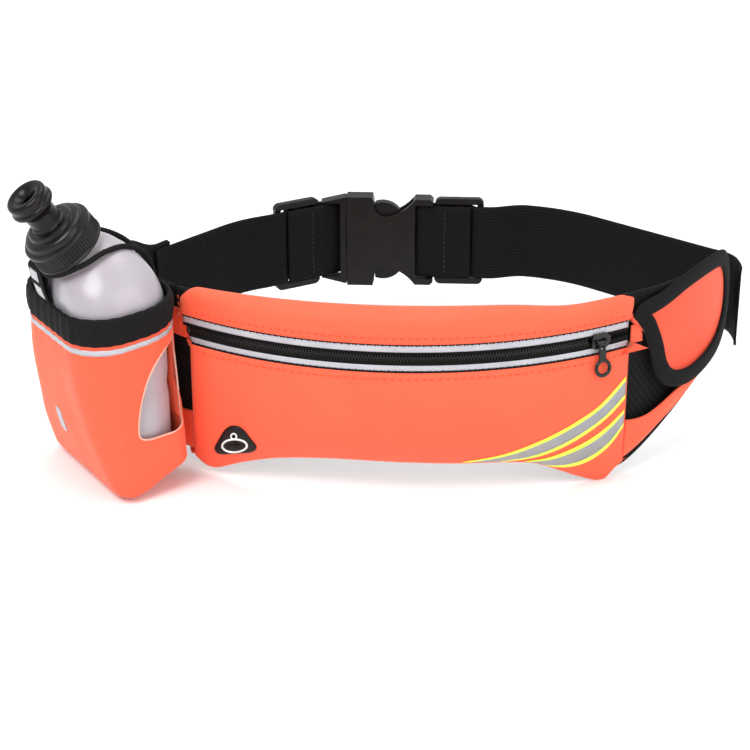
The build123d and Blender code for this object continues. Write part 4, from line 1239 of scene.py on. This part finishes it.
def turned(name, profile, foot, axis, side, lean, material, body, count=96, ribs_between=None):
    """A turned part on the neck's axis, from a profile of (radius, along). Ribs lie between two places."""
    rows = []
    for r, h in profile:
        row = []
        for k in range(count):
            a = 2 * math.pi * k / count
            proud = 0.0
            if ribs_between and ribs_between[0] < h < ribs_between[1] and k % 2:
                proud = -0.7
            p = foot + axis * h + (side * math.cos(a) + lean * math.sin(a)) * (r + proud)
            row.append(in_pocket(*p))
        rows.append(row)
    made = grid(name, rows, MAT[material], body, wrap=True)
    made.data.set_sharp_from_angle(angle=math.radians(34))
    return made


def lathe_cap(foot, axis, side, lean):
    """The screw cap: a ribbed skirt under smooth steps, and a collar that the nozzle slides in."""
    low = NECK_TOP + SEAL - CAP_SKIRT
    profile = [
        (18.2, low + 12.6), (18.2, low + 0.4), (18.6, low), (20.6, low), (21.2, low + 0.5), (21.2, low + 1.4),
        (21.0, low + 1.7), (21.0, low + 1.9), (20.9, low + 10.6), (20.9, low + 10.8), (21.1, low + 11.2),
        (21.1, low + 12.4), (20.6, low + 13.2), (19.3, low + 13.6), (18.6, low + 13.8), (18.4, low + 14.6),
        (18.2, low + 16.0), (17.4, low + 16.9), (15.6, low + 17.6), (14.2, low + 17.9), (13.8, low + 18.4),
        (13.6, low + 19.4), (13.0, low + 20.1), (11.9, low + 20.4), (10.2, low + 20.5), (9.6, low + 20.2),
        (9.5, low + 17.0), (8.0, low + 16.4), (8.0, low + 13.4), (18.0, low + 12.8),
    ]
    cap = turned("cap", profile, foot, axis, side, lean, "cap", "bottle_cap", 144, (low + 1.8, low + 10.7))
    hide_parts("bottle_cap")


def lathe_nozzle(foot, axis, side, lean):
    """The pull-up nozzle: a flared mouth with a dished top and a hole, over a waisted shaft and a collar."""
    base = NECK_TOP + SEAL + CAP_WALL + NOZZLE_LIFT
    points = [
        (7.3, 11.5), (7.3, 0.2), (8.2, -0.8), (10.4, -0.6), (10.9, 0.2), (10.6, 1.4), (9.4, 2.2),
        (9.0, 3.0), (8.9, 5.0), (9.0, 8.6), (9.5, 11.6), (10.4, 13.4), (11.2, 14.2), (12.4, 15.0),
        (12.9, 16.2), (12.7, 17.4), (11.9, 18.2), (11.6, 19.4), (12.0, 20.8), (12.0, 22.4),
        (11.2, 23.6), (9.8, 24.1), (8.0, 23.8), (6.2, 22.9), (4.8, 21.6), (3.9, 20.4),
        (3.3, 18.8), (3.2, 11.5),
    ]
    profile = [(r, base + h) for r, h in spline(points, 3)]
    nozzle = turned("nozzle", profile, foot, axis, side, lean, "nozzle", "bottle_nozzle", 80)
    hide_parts("bottle_nozzle")


def retainer():
    """Elastic cord round the shoulder, and the webbing pull tab that holds it at the front."""
    route = [
        (-7, 30, 44.5), (-8, 29, 54), (-10, 23, 66), (-15, 10, 74), (-20, -5, 75.5), (-20.5, -18, 71),
        (-15, -28, 66), (-6, -32.4, 62.6), (0, -33.2, 62.0), (6, -32.4, 62.6), (15, -28, 66),
        (20.5, -18, 71), (20, -5, 75.5), (15, 10, 74), (10, 23, 66), (8, 29, 54), (7, 30, 44.5),
    ]
    line = [in_pocket(*p) for p in spline(route, 10)]
    cord = tube("retainer_loop", line, 1.6, MAT["cord"], count=12)
    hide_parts("retainer_cord")

    def strap(name, profile, width, thick, material, power=5.0):
        centres = [in_pocket(9.0, y, z) for y, z in spline(profile, 8)]
        sides = [POCKET_X] * len(centres)
        ups = []
        for i in range(len(centres)):
            a, b = np.array(centres[max(i - 1, 0)]), np.array(centres[min(i + 1, len(centres) - 1)])
            run = (b - a) / np.linalg.norm(b - a)
            ups.append(np.cross(run, POCKET_X))
        return sweep(name, centres, sides, ups, flat_section(width, thick, power), material)

    fold = [(-30.6, 36), (-31.4, 44), (-33.4, 51), (-34.6, 58), (-35.4, 62.5), (-33.6, 64.6), (-31.2, 64.0),
            (-30.9, 60.5), (-31.3, 56), (-31.0, 50), (-30.4, 44)]
    tab = strap("retainer_pull", fold, 17.0, 1.3, MAT["twill"])
    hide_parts("retainer_tab")
    strap("retainer_patch_low", [(-32.0, 44.6), (-33.3, 48), (-34.4, 52)], 9.6, 0.5, MAT["film"])
    strap("retainer_patch_high", [(-35.2, 55.5), (-35.8, 58.5), (-36.3, 61.8)], 9.6, 0.5, MAT["film"])


# ------------------------------------------------------------------ side pocket
def on_wing(s, out, z):
    return on_side("right", POUCH_RUN + s, out + 1.2, z)


def side_pocket():
    rim = [
        (12, 2.2, 31), (28, 2.4, 36.5), (47, 2.6, 43), (68, 2.8, 45.5), (86, 2.8, 43.5), (97, 2.8, 34),
        (102, 3.0, 18), (98, 3.6, 3), (84, 4.6, -8.5), (64, 5.6, -14.5), (46, 6.6, -16.5),
        (32, 7.0, -13), (24.5, 6.6, -4), (21.0, 5.4, 10), (16.5, 3.6, 23),
    ]
    line = spline(rim, 12, closed=True)
    centres = [on_wing(*p) for p in line]
    ups = [np.array(on_wing(s, out + 1, z)) - np.array(on_wing(s, out, z)) for s, out, z in line]
    sides, tops = frames(centres, ups, closed=True)
    section = flat_section(10.5, 2.8, 3.0)
    lip = sweep("side_pocket_rim", centres, sides, tops, section, MAT["band"], closed=True)
    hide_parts("side_pocket_lip", "side_pocket_rear_rim")

    middle = np.array((58.0, 1.2, 14.0))
    rows = []
    for k in steps(0.1, 1.0, 16):
        row = []
        for p in line:
            q = middle + (p - middle) * k
            row.append(on_wing(q[0], lerp(0.9, p[1] - 0.9, k**3), q[2]))
        rows.append(row)
    # The pocket's inside takes the darker orange copy: painted shade.
    lining = grid("side_pocket_inside", rows, MAT["orange_shaded"], thick=0.6, wrap=True,
                  outward=(1, -0.6, 0), offset=1.0, capped=True)
    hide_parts("side_pocket_lining")

    top_line = spline([(-2, -33), (8, -35), (18, -34), (28, -29), (40, -22.5), (58, -18), (75, -13), (98, -4),
                       (128, -2)], 6)
    rows = []
    for t in steps(0, 1, 22):
        row = []
        for s in steps(4.0, 96, 64):
            high = float(np.interp(s, [p[0] for p in top_line], [p[1] for p in top_line]))
            low = wing_low(s) + 3.4
            belly = 4.0 * math.exp(-(((s - 42) / 30) ** 2)) * math.sin(math.pi / 2 * min(t * 1.15, 1)) ** 0.8
            fold = 1.2 * crumple(s * 1.4, 60 * t, 1.0, 21.0) * math.sin(math.pi * t)
            row.append(on_wing(s, 0.8 + belly + fold + 0.9 * smooth(t * 4), lerp(low, max(high, low + 2), t)))
        rows.append(row)
    front = grid("side_pocket_front", rows, MAT["orange"], thick=1.3, outward=(1, -0.6, 0), offset=1.0)
    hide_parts("side_pocket_shell")

    rows = [[on_wing(s, 2.0, lerp(14, 25, t)) for s in steps(5.2, 13, 8)] for t in steps(0, 1, 8)]
    grid("side_tab", rows, MAT["orange"], thick=1.0, outward=(1, -0.6, 0), offset=1.0)


# ------------------------------------------------------------------ camera, light and floor
def stage_and_camera():
    target = Vector((-0.015, 0.0, -0.023))
    azimuth, elevation, distance = math.radians(3), math.radians(25), 1.2
    level = math.cos(elevation)
    back = Vector((math.sin(azimuth) * level, -math.cos(azimuth) * level, math.sin(elevation)))
    data = bpy.data.cameras.new("camera")
    data.sensor_width, data.lens = 36.0, 96.864
    camera = bpy.data.objects.new("camera", data)
    camera.location = target + back * distance
    camera.rotation_euler = back.to_track_quat("Z", "Y").to_euler()
    bpy.context.scene.collection.objects.link(camera)
    bpy.context.scene.camera = camera

    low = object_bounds()[0][2] / MM
    reach, paper = 4000.0, (0.93, 0.93, 0.93)
    floor_mat, tree, shader = surface("floor_paper", paper, 0.9, 0.1)
    mottle(tree, shader, paper, 0.01, 3.0)
    corners = [(-reach, -reach, low), (reach, -reach, low), (reach, reach, low), (-reach, reach, low)]
    floor = finish_mesh("floor", corners, [(0, 1, 2, 3)], floor_mat, None)

    world = bpy.data.worlds.new("studio")
    bpy.context.scene.world = world
    world.use_nodes = True
    world.node_tree.nodes["Background"].inputs["Color"].default_value = (1, 1, 1, 1)
    world.node_tree.nodes["Background"].inputs["Strength"].default_value = 0.75
    for name, place, power, size in (
        ("key", (-0.7, -1.0, 1.5), 22, 1.0),
        ("fill", (1.2, -0.9, 0.8), 9, 1.2),
        ("top", (0.1, 0.5, 1.8), 14, 1.4),
    ):
        light = bpy.data.lights.new(name, "AREA")
        light.energy, light.size = power, size
        lamp = bpy.data.objects.new(name, light)
        lamp.location = place
        lamp.rotation_euler = (Vector(place) - target).to_track_quat("Z", "Y").to_euler()
        bpy.context.scene.collection.objects.link(lamp)
    settings = bpy.context.scene.view_settings
    settings.view_transform = "Standard"
    settings.look = "None"


pouch()
zip_parts()
stripes()
port()
for each in SIDES:
    wing(each)
belt()
pocket()
bottle()
retainer()
side_pocket()
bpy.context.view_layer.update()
stage_and_camera()
